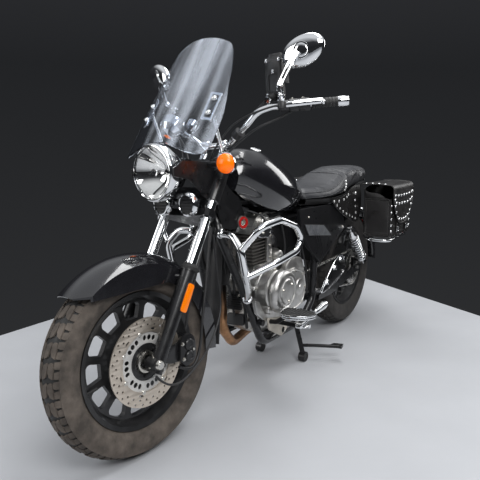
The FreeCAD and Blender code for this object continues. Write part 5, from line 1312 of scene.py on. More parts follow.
def tub(s, t):
    i = round(s * len(dense)) % len(dense)
    x, y = dense[i]
    cx, cy = (BAG_REAR + BAG_FRONT) / 2, (BAG_IN + BAG_OUT) / 2
    if t < 0.30:                                   # the floor and its rounded edge
        k = t / 0.30
        inset = FLOOR_EDGE * (1 - math.sin(min(1, max(0, (k - 0.5) * 2)) * math.pi / 2))
        half = (BAG_OUT - BAG_IN) / 2
        pull = (FLOOR_EDGE / half + (1 - FLOOR_EDGE / half) * (1 - min(1, k * 2)) if k < 0.5
                else inset / half)
        x, y = (x + (cx - x) * pull * (2 * half / (BAG_FRONT - BAG_REAR) if k >= 0.5 else 1),
                y + (cy - y) * pull)
        z = BAG_LOW + (FLOOR_EDGE * (1 - math.cos((k - 0.5) * math.pi)) if k > 0.5 else 0)
    else:
        k = (t - 0.30) / 0.70
        low = BAG_LOW + FLOOR_EDGE
        z = low + (mouth(x, y) - low) * k
        seam = math.exp(-((z - LID_SEAM) / 5) ** 2)
        full = (3.4 * math.sin(math.pi * min(1, (z - low) / (LID_SEAM - low))) if z < LID_SEAM
                else 2.5)
        on_long_side = y > BAG_OUT - 1 or y < BAG_IN + 1
        to_corner = (min(x - BAG_REAR, BAG_FRONT - x) if on_long_side
                     else min(y - BAG_IN, BAG_OUT - y))
        out = full * max(0, min(1, to_corner / 30)) - 3.0 - 1.6 * seam
        if z > 696 and x > BAG_FRONT - 1:           # the slack gusset at the mouth
            out += 5 * math.sin((y - BAG_IN) / 146 * 7 + z / 16) * min(1, (z - 696) / 20)
        if abs(x - BAG_FRONT) < 1 or abs(x - BAG_REAR) < 1:
            x += out * (1 if x > cx else -1)
        elif y > BAG_OUT - 1:
            y += out - 1
        place = mm(x, y, z)
        bump = wrinkle(place, 0.07, 0.0022)
        return place + Vector((bump, bump, 0))
    return mm(x, y, z)


tub_mesh = thickened(healed(surface(tub, len(dense), 44)[0]), 0.004)
add_piece("bag_tubs", both(tub_mesh), bag_leather, "chassis", ["saddlebags"], 50)

# %% Piping, seams and studs of the tub
cords, seams = [], []
for x, out in ((BAG_FRONT, 1), (BAG_REAR, -1)):
    frame_line = rounded([(BAG_IN + 9, BAG_LOW + 12), (BAG_OUT - 8, BAG_LOW + 12),
                          (BAG_OUT - 8, LID_SEAM), (BAG_IN + 9, LID_SEAM)], 14, 5)
    path = [mm(x - 1.2 * out, y, z) for y, z in frame_line]
    cords.append(cord(path + path[:2], 2.3))
    inner = rounded([(BAG_IN + 17, BAG_LOW + 20), (BAG_OUT - 16, BAG_LOW + 20),
                     (BAG_OUT - 16, 685), (BAG_IN + 17, 685)], 10, 5)
    seams += spread([mm(x + 0.2 * out, y, z) for y, z in inner + inner[:1]], 0.0062)
studs_at = facing_side(BAG_OUT - 2.6, [(x, z) for z in (630, 597, 566, 538, 664)
                                       for x in (-579, -856)])
seams += spread([mm(x, BAG_OUT - 1.6, LID_SEAM) for x in range(-590, -850, -12)], 0.0062)
add_piece("bag_piping", both(*cords), bag_leather)
add_piece("bag_studs", both(on_spots(stud, studs_at, chrome, 1.4)), chrome)
add_piece("bag_stitches", both(on_spots(stitch, seams, thread)), thread)

# %% Flap lids
MID, HALF = -718, 154


def flap(s, t):
    """The outer face of the lid sheet: t up to 0.42 is the top, the rest hangs."""
    s = 2 * s - 1
    if t <= 0.42:
        k = t / 0.42
        y, z = 179 + 139 * k, 765 + 3.5 * math.sin(math.pi * k) - 1.5 * abs(s) ** 3
        x = MID + s * HALF
    elif t <= 0.52:
        a = (t - 0.42) / 0.10 * math.pi / 2
        y, z = 318 + 22 * math.sin(a), 743 + 22 * math.cos(a)
        x = MID + s * HALF
    else:
        k = (t - 0.52) / 0.48
        drop = 176 * (1 - 0.26 * abs(s) ** 3.2)
        x = MID + s * HALF * (1 - 0.36 * k ** 2.6)
        y, z = 340 + 1.2 * math.sin(math.pi * k), 743 - drop * k
    place = mm(x, y, z)
    bump = wrinkle(place, 0.06, 0.0014)
    return place + (Vector((0, 0, bump)) if t < 0.45 else Vector((0, bump, 0)))


def flap_edge(inset):
    """The line round the lid sheet, from its front hinge corner to its rear one."""
    side, low = inset / (2 * HALF), 1 - inset / 340
    front = [(1 - side, t / 24 * low) for t in range(25)]
    under = [(1 - side - (1 - 2 * side) * i / 40, low) for i in range(1, 41)]
    rear = [(side, t / 24 * low) for t in range(23, -1, -1)]
    return [flap(s, t) for s, t in front + under + rear]


lid_sheet, lid_area = surface(flap, 48, 56, 0.0034)
edge_cord = cord(flap_edge(1.5), 2.6)
lid_seams = on_spots(stitch, [(p + Vector((0, 0.0002, 0.0002)), w)
                              for p, w in spread(flap_edge(9), 0.0062)], thread)
spots = [(place, (0, 1, 0)) for place, _ in spread(flap_edge(19), 0.034, 0.19) if place.z < 0.72]
for z, shift in ((708, 0.0), (668, 0.022)):
    t = 0.52 + 0.48 * (743 - z) / 176
    row = [flap(i / 40, t) for i in range(3, 38)]
    spots += [(place, (0, 1, 0)) for place, _ in spread(row, 0.043, shift)]
spots += [(place, (0, 0, 1)) for place, _ in spread(
    [flap(1 - 12 / 308, t / 40) for t in range(2, 17)], 0.032)]
lid_studs = on_spots(stud, spots, chrome, 1.5)
for side, name, turn in ((1, "left_bag_lid", lambda m: m), (-1, "right_bag_lid", flipped)):
    sheet = add_piece(name.replace("_bag_lid", "_flap"), turn(lid_sheet.copy()), bag_leather, name,
                      [name], 60)
    trim = [add_piece(name + kind, turn(mesh.copy()), material, name) for kind, mesh, material in (
        ("_piping", edge_cord, bag_leather), ("_stitches", lid_seams, thread),
        ("_studs", lid_studs, chrome))]

# %% Straps and buckles
# Each bag has two straps. A strap comes out from below the flap, passes a chrome buckle and
# ends in a tongue under the tub.
straps, buckles = [], []
for x in (-652, -792):
    def strap(s, t, x=x):
        z = 600 - 92 * t
        return mm(x + 22 * (s - 0.5) * (1 - 0.25 * max(0, t - 0.9) * 10),
                  333.2 + 1.6 * math.sin(t * 5) * (t > 0.35), z)
    straps.append(surface(strap, 3, 20, 0.0026)[0])
    buckles += [cut_plate([box(16, 14, 5, (x, 542)), box(12, 10, 3, (x, 542))], 3.0, 0.9,
                          on_side(337.2)),
                sweep(route((x, 337.4, 530), (x, 339.2, 541), (x, 337.6, 554)), 1.5)]
add_piece("bag_straps", both(*straps), bag_leather)
add_piece("bag_buckles", both(*buckles), chrome)

# %% Rails under the bags
rails = sweep(route((-668, 114.4, 627.8), (-668, 146, 627.8), (-666, 158, 540), (-660, 160, 489.7),
                    (-610, 196, 489.7), (-574, 222, 489.7), (-574, 296, 489.7), (-600, 318, 489.7),
                    (-836, 318, 489.7), (-862, 296, 489.7), (-862, 210, 489.7), (-846, 160, 489.7),
                    (-836, 158, 540), (-830, 146, 604.3), (-830, 114.4, 604.3)), 8, 30, 5)
add_piece("bent_bag_rails", both(rails), chrome, "chassis", ["bag_rails"])

# %% [markdown]
# ## The seat
# The rider's pad and the passenger's pad are two cushions. Each starts as a shape lofted along
# the machine, slightly smaller than its place. The cloth simulation blows it up a little against
# its own fabric, with a limit on how far any point may go. Welts, channels and studs come after,
# laid on the finished skin.

# %% Lofted pads
def between(table, x):
    """Straight-line lookup in a table of (x, values...)."""
    table = sorted(table)
    if x <= table[0][0]:
        return table[0][1:]
    for one, two in zip(table, table[1:]):
        if x <= two[0]:
            t = (x - one[0]) / (two[0] - one[0])
            return [a + (b - a) * t for a, b in zip(one[1:], two[1:])]
    return table[-1][1:]


# x, half width, top, underside
RIDER = [(-152, 58, 748, 716), (-158, 74, 754, 712), (-180, 88, 758, 711), (-220, 105, 758, 710),
         (-260, 119, 758, 709), (-310, 131, 762, 709), (-360, 137, 771, 710),
         (-410, 138, 784, 712), (-450, 135, 798, 713), (-490, 128, 813, 715),
         (-520, 121, 823, 716), (-545, 115, 829, 718), (-556, 104, 824, 724)]
PILLION = [(-536, 96, 806, 730), (-548, 110, 822, 724), (-575, 114, 832, 724),
           (-620, 112, 838, 736), (-700, 110, 839, 746), (-780, 102, 838, 754),
           (-840, 91, 834, 762), (-868, 74, 824, 770), (-884, 48, 806, 776)]


def pad_mesh(table, shrink=3.5, steps=54):
    """A crowned pad whose sides pull in below its edge."""
    x0, x1 = table[0][0] - shrink, table[-1][0] + shrink
    half_ring = [(0, 1, 7), (0.30, 1, 6), (0.58, 1, 3.5), (0.76, 1, 0.5), (0.86, 1, -4),
                 (0.94, 1, -12), (0.985, 1, -22), (1.0, 0.5, 0), (0.985, 0.25, 0), (0.93, 0.07, 0),
                 (0.80, 0, 0), (0.4, 0, 0), (0, 0, 0)]
    around = half_ring + [(-a, b, c) for a, b, c in half_ring[-2:0:-1]]
    rings = []
    for i in range(steps + 1):
        x = x0 + (x1 - x0) * i / steps
        half, top, low = between(table, x)
        half, top, low = half - shrink, top - 7, low + shrink
        rings.append([mm(x, half * share, low + (top - low) * mix + lift if mix in (0, 1)
                         else low + (top - 22 - low) * mix) for share, mix, lift in around])
    return loft(rings)


def inflate(mesh, voxel, cap, pressure=4.0):
    """Remesh a pad, blow it up with the cloth simulation and cap how far it grows."""
    pad_object = bpy.data.objects.new("inflating", mesh)
    bpy.context.collection.objects.link(pad_object)
    remesh = pad_object.modifiers.new("remesh", "REMESH")
    remesh.mode, remesh.voxel_size, remesh.use_smooth_shade = "VOXEL", voxel, True
    smooth = pad_object.modifiers.new("smooth", "SMOOTH")
    smooth.factor, smooth.iterations = 0.5, 4
    even = evaluated(pad_object)
    cloth_object = bpy.data.objects.new("cloth_pad", even)
    bpy.context.collection.objects.link(cloth_object)
    cloth = cloth_object.modifiers.new("cloth", "CLOTH")
    settings = cloth.settings
    settings.use_pressure, settings.uniform_pressure_force = True, pressure
    settings.quality, settings.mass = 4, 0.3
    settings.tension_stiffness = settings.compression_stiffness = 22
    settings.bending_stiffness = 2.0
    settings.effector_weights.gravity = 0
    start = [v.co.copy() for v in even.vertices]
    scene = bpy.context.scene
    for step in range(1, 21):
        scene.frame_set(step)
    blown = bpy.data.meshes.new_from_object(
        cloth_object.evaluated_get(bpy.context.evaluated_depsgraph_get()))
    scene.frame_set(1)
    bpy.data.objects.remove(cloth_object)
    for vertex, home in zip(blown.vertices, start):
        move = vertex.co - home
        if move.length > cap:
            vertex.co = home + move * (cap / move.length)
    return blown


def skin_of(mesh):
    return BVHTree.FromPolygons([v.co.copy() for v in mesh.vertices],
                                [tuple(p.vertices) for p in mesh.polygons])


def laid_on(skin, points, lift=0.0):
    """Points moved to the nearest place on a skin, and out from it."""
    return [place + normal * lift for place, normal, _, _ in map(skin.find_nearest, points)]


rider_skin_mesh = inflate(pad_mesh(RIDER), 0.006, 0.006)
pillion_skin_mesh = inflate(pad_mesh(PILLION), 0.006, 0.006)

# %% Sewn channels across the passenger's pad and the step behind the rider
def pressed(mesh, x_lines, width, depth, low):
    """Press sewn channels into the top of a pad, at lines across the machine."""
    for vertex in mesh.vertices:
        if vertex.co.z < low:
            continue
        for x in x_lines:
            bow = x / 1000 - 0.9 * vertex.co.y ** 2
            share = (vertex.co.x - bow) / (width / 1000)
            vertex.co.z -= depth / 1000 * math.exp(-share * share)
    return mesh


pressed(rider_skin_mesh, (-486, -512), 5, 3.0, 0.765)
pressed(pillion_skin_mesh, (-596, -640, -684, -728, -772, -816), 6, 3.2, 0.815)


def finer(mesh):
    holder = bpy.data.objects.new("finer", mesh)
    sub = holder.modifiers.new("sub", "SUBSURF")
    sub.levels = sub.render_levels = 1
    return evaluated(holder)


rider_pad = add_piece("rider_pad", finer(rider_skin_mesh), seat_leather, "chassis", ["seat"], 80)
pillion_pad = add_piece("pillion_pad", finer(pillion_skin_mesh), seat_leather, "chassis", (), 80)

# %% Welts
rider_skin, pillion_skin = skin_of(rider_pad.data), skin_of(pillion_pad.data)


def rim_line(table, share, drop, start, end, steps=60):
    """A line along the left edge of a pad, a share of its half width out."""
    line = []
    for i in range(steps + 1):
        x = start + (end - start) * i / steps
        half, top, low = between(table, x)
        line.append(mm(x, half * share, top - drop))
    return line


top_edge = rim_line(RIDER, 0.90, 9, -158, -470)
low_edge = rim_line(RIDER, 0.99, 40, -160, -540)
# the top panel closes behind the rider in one round curve
arch = [mm(-470 - 34 * math.sin(a), 121 * math.cos(a), 770 + 22 * math.sin(a))
        for a in [math.pi * k / 30 for k in range(1, 30)]]
whole_edge = top_edge + arch + mirrored(top_edge[::-1])
pillion_edge = rim_line(PILLION, 0.92, 10, -552, -868)
add_piece("seat_welts", [cord(laid_on(rider_skin, whole_edge, 0.0006), 2.4),
                         both(cord(laid_on(rider_skin, low_edge, 0.0004), 1.7)),
                         both(cord(laid_on(pillion_skin, pillion_edge, 0.0004), 2.0))],
          seat_leather)
sewing = []
for line, lift in ((top_edge + arch[:15], 0.0006), (low_edge, 0.0004)):
    sewing += spread(laid_on(rider_skin, [p + mm(0, -7, 1) for p in line], lift), 0.0064)
add_piece("seat_stitches", both(on_spots(stitch, sewing, thread, 0.9)), thread)

# %% Studded valances
# The leather side pieces hang below the seat and carry rows of chrome studs.
VALANCE_TOP = [(-300, 706), (-360, 708), (-420, 712), (-480, 722), (-520, 736), (-560, 748),
               (-600, 754), (-648, 752)]
VALANCE_LOW = [(-300, 700), (-343, 668), (-411, 632), (-462, 610), (-516, 591), (-578, 570),
               (-604, 578), (-636, 612), (-648, 700)]


def valance(s, t):
    x = -300 - 348 * s
    high, low = between(VALANCE_TOP, x)[0], between(VALANCE_LOW, x)[0]
    z = high + (low - high) * t
    lean = max(0, (z - 690) / 60)
    y = 139.5 - 12 * lean * max(0, min(1, (-440 - x) / 80)) + 1.2 * math.sin(x / 27) * t
    place = mm(x, y, z)
    return place + Vector((0, wrinkle(place, 0.05, 0.0012), 0))


valance_sheet, valance_area = surface(valance, 60, 22, 0.0030)
valances = add_piece("seat_valances", both(valance_sheet), bag_leather, "chassis", (), 60)
border = [valance(s / 60, 0.94) for s in range(2, 50)]
spots = [(place + mm(0, 0.2, 8), (0, 1, 0)) for place, _ in spread(border, 0.0405, 0.006)]
for t, out, places in ((0.1, 0.4, ((-371, 694), (-427, 697), (-465, 704), (-486, 714))),
                       (0.4, 1.0, ((-574, 716), (-567, 682), (-573, 650), (-580, 618)))):
    spots += [(mm(x, valance((-300 - x) / 348, t).y * 1000 + out, z), (0, 1, 0))
              for x, z in places]
spots += [rider_skin.find_nearest(mm(x, 124, z))[:2]
          for x, z in ((-496, 731), (-503, 747), (-508, 763), (-513, 779))]
valance_studs = add_piece("valance_studs", both(on_spots(stud, spots, bright_nickel, 1.7)),
                          bright_nickel)
hem = [valance(s / 60, 1) for s in range(61)]
valance_hem = add_piece("valance_hems", both(cord(hem, 2.0)), bag_leather)
edge_seams = spread([valance(s / 60, 1) + Vector((0, 0.0016, 0.0055)) for s in range(2, 56)],
                    0.0064)
valance_seams = add_piece("valance_stitches", both(on_spots(stitch, edge_seams, thread, 0.9)),
                          thread)

# %% [markdown]
# ## Engine detail
# The crankcase, covers and fins are CAD castings. This adds what is bolted to them: a full
# stator can with its rings, cover beads and screws, the starter cap, the plug lead, the head
# steady, the regulator between the down tubes and the wiring that runs up beside it.

# %% Covers and screws
beads, screws = [], []


def left_of(x, z, y):
    return aim(mm(x, y, z), (0, 1, 0))


can = left_of(211, 401, 66)
beads.append(lathe([(92, 78), (95, 83), (98, 85), (112, 84.6), (122, 82), (129, 76), (132, 68),
                    (132, 60), (129, 57), (129, 50), (132.6, 46), (133.4, 30), (134, 0)], 72, can))
beads.append(lathe([(30, 80.2), (32, 84), (40, 84.4), (44, 82), (46, 79.8)], 64, can))
caps = facing_side(199, ring(3, 38, 20, 211, 401))
bosses = ring(6, 90, 12, 215, 401)
beads += [lathe([(0, 0), (0, 9), (40, 9), (43, 7), (43, 0)], 20, left_of(x, z, 66))
          for x, z in bosses]
screws += facing_side(108.6, bosses)
case_line = [(146, 300), (154, 380), (104, 440), (0, 444), (-78, 414), (-96, 344), (-70, 276),
             (44, 258)]


def inside(amount):
    """The corners of the side cover, moved towards its middle."""
    middle = Vector((30, 350))
    return [Vector(p) + (middle - Vector(p)).normalized() * amount for p in case_line]


rounded_line = rounded(inside(7), 24, 5)
beads.append(cord([mm(x, 116.6, z) for x, z in rounded_line + rounded_line[:2]], 3.6))
screws += facing_side(116.4, inside(15))
beads.append(lathe([(0, 0), (0, 34), (3, 36), (7, 34), (8, 30), (8, 12), (11, 10), (11, 0)], 40,
                   left_of(-30, 356, 116.6)))
beads.append(lathe([(-30, 0), (-30, 24), (18, 25), (26, 23), (29, 19), (29, 15), (27, 13), (27, 5),
                    (30, 3), (30, 0)], 40, left_of(96, 510, 69.4)))
leaf_cover = rounded([(72, 440), (62, 468), (24, 488), (-32, 488), (-74, 473), (-94, 424),
                      (-96, 350), (-60, 330)], 16, 5)
beads.append(cut_plate([leaf_cover], 26, 5, on_side(96)))
beads.append(lathe([(60, 0), (60, 20), (150, 20), (154, 16), (154, 0)], 32, left_of(262, 336, 0)))
beads.append(sweep(route((40, 66, 474), (60, 70, 470), (110, 72, 468), (170, 70, 474)), 5.0))
screws += facing_side(70.4, [(60, 492), (86, 522)])
# the covers on the right
screws += facing_side(-99.4, ring(8, 92, 10, 70, 372), -1)
screws += facing_side(-104.8, ring(5, 54, 0, 205, 401), -1)
beads.append(lathe([(66, 0), (66, 34), (69, 32), (70, 24), (70, 0)], 32,
                   aim(mm(70, -66, 372), (0, -1, 0))))

# %% Barrel, head and what hangs on them
tower = rounded([(128, 496), (168, 496), (166, 612), (132, 612)], 8)
beads.append(cut_plate([tower], 12, 2.5, on_side(72)))
screws += facing_side(78.2, [(148, 512), (148, 560), (148, 600)])
beads.append(lathe([(0, 0), (0, 27), (3, 28), (6, 26), (8, 18), (8, 0)], 36,
                   left_of(190, 653, 77.8)))
screws += facing_side(84.4, ring(3, 20, 30, 190, 653))
screws += [(mm(x, y, 687), (0, 0, 1)) for x in (166, 214) for y in (-44, 44)]
steady = [rounded([(300, 648), (172, 636), (162, 620), (200, 602), (264, 610), (304, 628)], 7),
          circle(4, 12, 186, 622)]
steady_plate = cut_plate(steady, 5, 1.0, on_side(100))
screws += facing_side(102.4, [(238, 624)]) + facing_side(66.2, [(270, 248), (232, 310)])
add_piece("engine_beads", beads, cast_alloy)
add_piece("engine_screws", [on_spots(socket_bolt, screws, zinc, 0.85),
                            on_spots(bolt, caps, zinc, 0.8)], zinc)

# %% Black parts between the down tubes
regulator_way = (1, 0.15, 0.1)
blacks = [cut_plate([box(30, 36, 4)], 14, 1.5, aim(mm(330, 34, 372), regulator_way)),
          *[cut_plate([box(30, 1.3)], 16, 0.4, aim(mm(338, 34, 345 + 9 * k), regulator_way))
            for k in range(7)],
          cut_plate([box(34, 22, 5)], 26, 3, aim(mm(306, 22, 288), (1, 0.2, 0.2))),
          cut_plate([box(26, 60, 8)], 20, 3, aim(mm(374, 14, 500), (1, 0.1, 0.2))),
          lathe([(0, 0), (0, 20), (4, 24), (52, 24), (60, 18), (62, 8), (76, 8), (76, 0)], 28,
                aim(mm(60, 30, 560), (0.9, 0.3, 0.4)))]
looms = [cord(route(*points), radius) for radius, *points in (
    (5.0, (352, 40, 640), (374, 46, 560), (362, 44, 470), (338, 40, 402)),
    (4.0, (350, 22, 650), (390, 26, 590), (392, 28, 500), (350, 26, 410), (318, 22, 306)),
    (6.0, (352, 58, 620), (352, 60, 520), (320, 60, 430), (298, 58, 330), (282, 56, 250)),
    (3.6, (206, 86, 653), (226, 106, 664), (250, 98, 700), (300, 60, 716)),
    (4.6, (30, 60, 640), (20, 76, 560), (24, 74, 500), (40, 70, 470)),
    (4.0, (-60, 88, 640), (-70, 96, 560), (-104, 100, 470), (-130, 104, 380),
     (-128, 104, 300)),
    (4.0, (-30, 92, 640), (-44, 100, 570), (-66, 104, 500), (-70, 100, 440)),
    (5.0, (344, -18, 640), (366, -8, 560), (356, 4, 480), (330, 10, 410)))]
add_piece("regulator_and_coil", blacks, black_plastic)
add_piece("engine_looms", looms, hose_rubber)
add_piece("plug_cap", lathe([(0, 0), (0, 9), (6, 11), (26, 10), (30, 6), (30, 0)], 20,
                            aim(mm(196, 80, 652), (0.3, 1, 0.2))), grip_rubber)
regulator_bolts = [(mm(343, 12, 394), regulator_way), (mm(340, 56, 394), regulator_way),
                   (mm(384, 6, 540), (1, 0, 0)), (mm(384, 24, 460), (1, 0, 0))]
add_piece("regulator_bolts", on_spots(bolt, regulator_bolts, zinc), zinc)

# %% [markdown]
# ### Heat on the header pipe
# The pipe is smoke black near the head and copper brown where it bends under the engine. Height
# in Object coordinates drives the change. A clamp, two bands and a tip finish the muffler.

# %% Header colour, flange and muffler trim
tree = hot_copper.node_tree
shader = tree.nodes["Principled BSDF"]
where = node(tree, "TexCoord")
split = node(tree, "SeparateXYZ")
height = node(tree, "MapRange", **{"From Min": 0.27, "From Max": 0.40})
blend = node(tree, "Mix", data_type="RGBA")
copper, smoke = [s for s in blend.inputs if s.type == "RGBA"]
smoke.default_value = (0.03, 0.026, 0.024, 1)
mixed = [s for s in blend.outputs if s.type == "RGBA"][0]
connect(tree, (where.outputs["Object"], split.inputs[0]),
        (split.outputs["Z"], height.inputs["Value"]),
        (height.outputs["Result"], blend.inputs["Factor"]),
        (shader.inputs["Base Color"].links[0].from_socket, copper),
        (mixed, shader.inputs["Base Color"]))

flange = lathe([(0, 19.2), (0, 30), (3, 31.5), (7, 31.5), (9, 28), (9, 19.2), (0, 19.2)], 32,
               aim(mm(260, -32, 641), (1, 0, 0)))
start, end = mm(-262, -184, 168), mm(-880, -196, 250)
can_way = (end - start).normalized()
clamp = lathe([(-2, 24.4), (-2, 27), (0, 28), (14, 28), (16, 27), (16, 24.4), (-2, 24.4)], 36,
              aim(start, can_way))
bands = [lathe([(0, 46.2), (0, 47.6), (1, 48.4), (9, 48.4), (10, 47.6), (10, 46.2), (0, 46.2)], 48,
               aim(start + can_way * d, can_way)) for d in (0.11, 0.52)]
tip = lathe([(600, 35), (604, 39), (618, 39), (622, 36), (621, 26), (600, 24)], 40,
            aim(start, can_way))
add_piece("exhaust_fittings", [flange, steady_plate, clamp, tip, *bands], chrome)

# %% [markdown]
# ## Windshield
# The clear screen is part of a cylinder that leans back 35 degrees. Its outline comes from a
# table of half widths up the slope, with a notch above the headlight. Broad pale bands painted up
# the screen stand in for reflections, so the clear plastic shows as pale streaks against a dark
# room.

# %% Screen sheet
screen_base = moved(695, 0, 942) @ turned(-35, "Y")
screen_frame = steer_turn @ screen_base
SCREEN = [(0, 156), (3, 166.5), (8.5, 175.5), (17.2, 182.8), (30, 188), (48, 191), (100, 192.9),
          (158, 191.1), (215, 183.5), (267, 172), (300, 167), (338, 160.2), (375, 151.5),
          (408, 141), (422, 135), (435.2, 127), (443, 116), (448, 101), (455, 77), (460, 49),
          (462.6, 24), (463.4, 2)]


def notch(y):
    y = abs(y)
    if y < 78:
        return 16 + 15.8 * (1 - (y / 78) ** 2)
    return between([(78, 16), (122, 3), (156, 0), (200, 0)], y)[0]


def screen_point(y, z, deep=0.0):
    radius = 380 - deep
    return mm(-380 + math.sqrt(radius ** 2 - y * y), y, z)


def screen_shape(s, t):
    z = 463.4 * (1 - (1 - t) ** 1.7)
    y = (2 * s - 1) * between(SCREEN, z)[0]
    return screen_point(y, z + notch(y) * max(0, 1 - z / 70))


sheet_mesh, _ = surface(screen_shape, 56, 84)
screen_holder = bpy.data.objects.new("screen", sheet_mesh)
solid = screen_holder.modifiers.new("solid", "SOLIDIFY")
solid.thickness, solid.offset = 0.004, -1
round_edge = screen_holder.modifiers.new("edge", "BEVEL")
round_edge.width, round_edge.segments, round_edge.limit_method = 0.0012, 2, "ANGLE"
screen_mesh = healed(evaluated(screen_holder))
screen_mesh.transform(screen_frame)

# painted reflection bands: a stretched noise on the object's own coordinates drives how clear it
# is, so pale streaks stand in for reflections of the room, and the lower part is clearer still
painted_reflection_tree = acrylic.node_tree
where = node(painted_reflection_tree, "TexCoord")
stretch = node(painted_reflection_tree, "Mapping")
stretch.inputs["Scale"].default_value = (1.0, 19.0, 1.3)
stretch.inputs["Rotation"].default_value = (0.10, 0, 0)
painted_reflection_streaks = node(painted_reflection_tree, "TexNoise", Scale=1.0, Detail=1.0, Roughness=0.3)
clear = node(painted_reflection_tree, "MapRange", **{"From Min": 0.38, "From Max": 0.62, "To Min": 0.66,
                                  "To Max": 0.93})
split = node(painted_reflection_tree, "SeparateXYZ")
lower = node(painted_reflection_tree, "MapRange", **{"From Min": 1.02, "From Max": 1.16, "To Min": 0.08,
                                  "To Max": 0.0})
total = node(painted_reflection_tree, "Math", operation="ADD", use_clamp=True)
connect(painted_reflection_tree, (where.outputs["Object"], stretch.inputs["Vector"]),
        (stretch.outputs[0], painted_reflection_streaks.inputs["Vector"]),
        (painted_reflection_streaks.outputs["Fac"], clear.inputs["Value"]),
        (where.outputs["Object"], split.inputs[0]), (split.outputs["Z"], lower.inputs["Value"]),
        (clear.outputs["Result"], total.inputs[0]), (lower.outputs["Result"], total.inputs[1]),
        (total.outputs[0], painted_reflection_tree.nodes["Principled BSDF"].inputs["Transmission Weight"]))
add_piece("screen_sheet", screen_mesh, acrylic, "steering", ["windshield"], 30)

# %% Plates, bolts and arms that carry the screen
frames, pads, domes = [], [], []
for side in (1, -1):
    plate_at = (screen_frame @ Matrix.Translation(screen_point(144 * side, 183, 6.6))
                @ Matrix.Rotation(math.asin(144 * side / 376), 4, "Z") @ turned(90, "Y")
                @ turned(90, "Z"))
    frames.append(cut_plate([box(20, 54, 4), box(11.5, 44, 3)], 4.4, 1.0, plate_at))
    frames.append(cut_plate([box(2.5, 52, at=(16.5, 0))], 5, 1.2, plate_at @ moved(0, 0, -4)))
    pads.append(cut_plate([box(13, 46, 3)], 2.4, 0.6, plate_at @ moved(0, 0, -1.4)))
    domes += [lathe([(-8, 0), (-8, 3), (0, 3), (0, 9.5), (1.6, 9.5), (2, 7.6), (4.6, 6.6),
                     (6.6, 4), (7.4, 0)], 20, plate_at @ moved(0, up, 6.8)) for up in (-28, 28)]
    root = steer_turn.inverted() @ leg(668, 0, side) + mm(0, 12 * side, 0)
    plate_end = screen_base @ mm(-40, 140 * side, 180)
    frames.append(sweep([root, root + mm(30, 22 * side, 40), plate_end], 6, 20, 5, steer_turn))
    frames.append(lathe([(0, 18.7), (0, 23), (2, 25), (22, 25), (24, 23), (24, 18.7), (0, 18.7)],
                        32, aim(leg(656, 0, side), leg_up)))
    domes.append(lathe([(0, 0), (0, 9), (5, 9), (8, 6), (9, 0)], 6,
                       aim(steer_turn @ (root + mm(0, 12 * side, 0)), side_way * side)))
add_piece("screen_frames", frames, chrome, "steering", ["windshield_brackets"])
add_piece("screen_pads", pads, black_plastic, "steering")
add_piece("screen_nuts", domes, chrome, "steering")

# %% [markdown]
# ## Foot controls
# The boards are short chrome crescents with a ribbed rubber top, on hangers of blasted plate.
# The gear lever on the left ends in a chrome peg, and the brake pedal is on the right.

# %% Boards, pegs, gear lever and brake pedal
blasted = finish("blasted_plate", (0.52, 0.48, 0.42), 0.55, 0.35, tone=0.15, bump=0.2,
                 grain=0.0012)


def pushed(outline_points, amount):
    """An outline moved inwards by an amount, towards its own middle."""
    corners = [Vector(p) for p in outline_points]
    middle = sum(corners, Vector((0, 0))) / len(corners)
    return [tuple(p + (middle - p) * min(0.9, amount / (middle - p).length)) for p in corners]


boards, rubbers, arms = [], [], []
hanger = cut_plate([rounded([(276, 304), (152, 280), (124, 226), (170, 202), (268, 256)], 9)], 8,
                   1.4, on_side(146))
lug = rounded([(352, 388), (322, 380), (302, 346), (256, 300), (276, 284), (338, 334)], 7)
lugs = cut_plate([lug], 14, 3, on_side(132))
arms.append(lathe(rod(118.2, 140, 12), 24, left_of(296, 290, 0)))
arms.append(lathe([(118.2, 0), (118.2, 12), (150, 12), (152, 9), (152, 0)], 24,
                  left_of(160, 226, 0)))
arms.append(sweep(route((262, 146, 288), (262, 180, 292), (250, 214, 318), (250, 300, 322)), 9,
                  30, 4))
board = [(-34, 198), (-40, 236), (-40, 276), (-34, 318), (-18, 331), (0, 334), (24, 324),
         (48, 296), (60, 264), (59, 232), (44, 206), (10, 197)]
board = rounded(board, 10, 3)
boards.append(cut_plate([board], 9, 3.4, moved(250, 0, 330)))
boards.append(cut_plate([board, pushed(board, 5)], 8, 2.0, moved(250, 0, 338)))
rubbers.append(cut_plate([pushed(board, 6)], 7, 1.2, moved(250, 0, 339.5)))
rubbers += [cut_plate([box(26 if k in (0, 8) else 32, 2.4, 2, (0, 212 + 12.4 * k))], 3.4, 1.0,
                      moved(250, 0, 343.4)) for k in range(9)]
fixings = facing_side(150.2, [(156, 223), (250, 288)])
heel = aim(mm(98, 260, 299), (-1, 0, 0.15))
gear = [lathe([(238, 0), (238, 10.6), (258, 10.6), (260, 8), (260, 0)], 24, left_of(212, 274, 0)),
        sweep(route((212, 254, 274), (160, 258, 284), (96, 260, 299)), 5, 40, 5),
        lathe([(0, 0), (0, 8), (3, 9.4), (20, 10), (62, 13.4), (82, 14.6), (92, 13), (95, 8),
               (95, 0)], 32, heel),
        sweep(route((212, 246, 274), (176, 250, 256), (140, 252, 252)), 4, 20, 4),
        lathe(rod(-6, 6, 8), 20, left_of(140, 252, 252))]
gear_rings = [lathe([(24 + 11 * k, 9.6 + 0.9 * k), (26 + 11 * k, 12.4 + 0.8 * k),
                     (30 + 11 * k, 12.6 + 0.8 * k), (32 + 11 * k, 10 + 0.9 * k)], 28, heel)
              for k in range(5)]
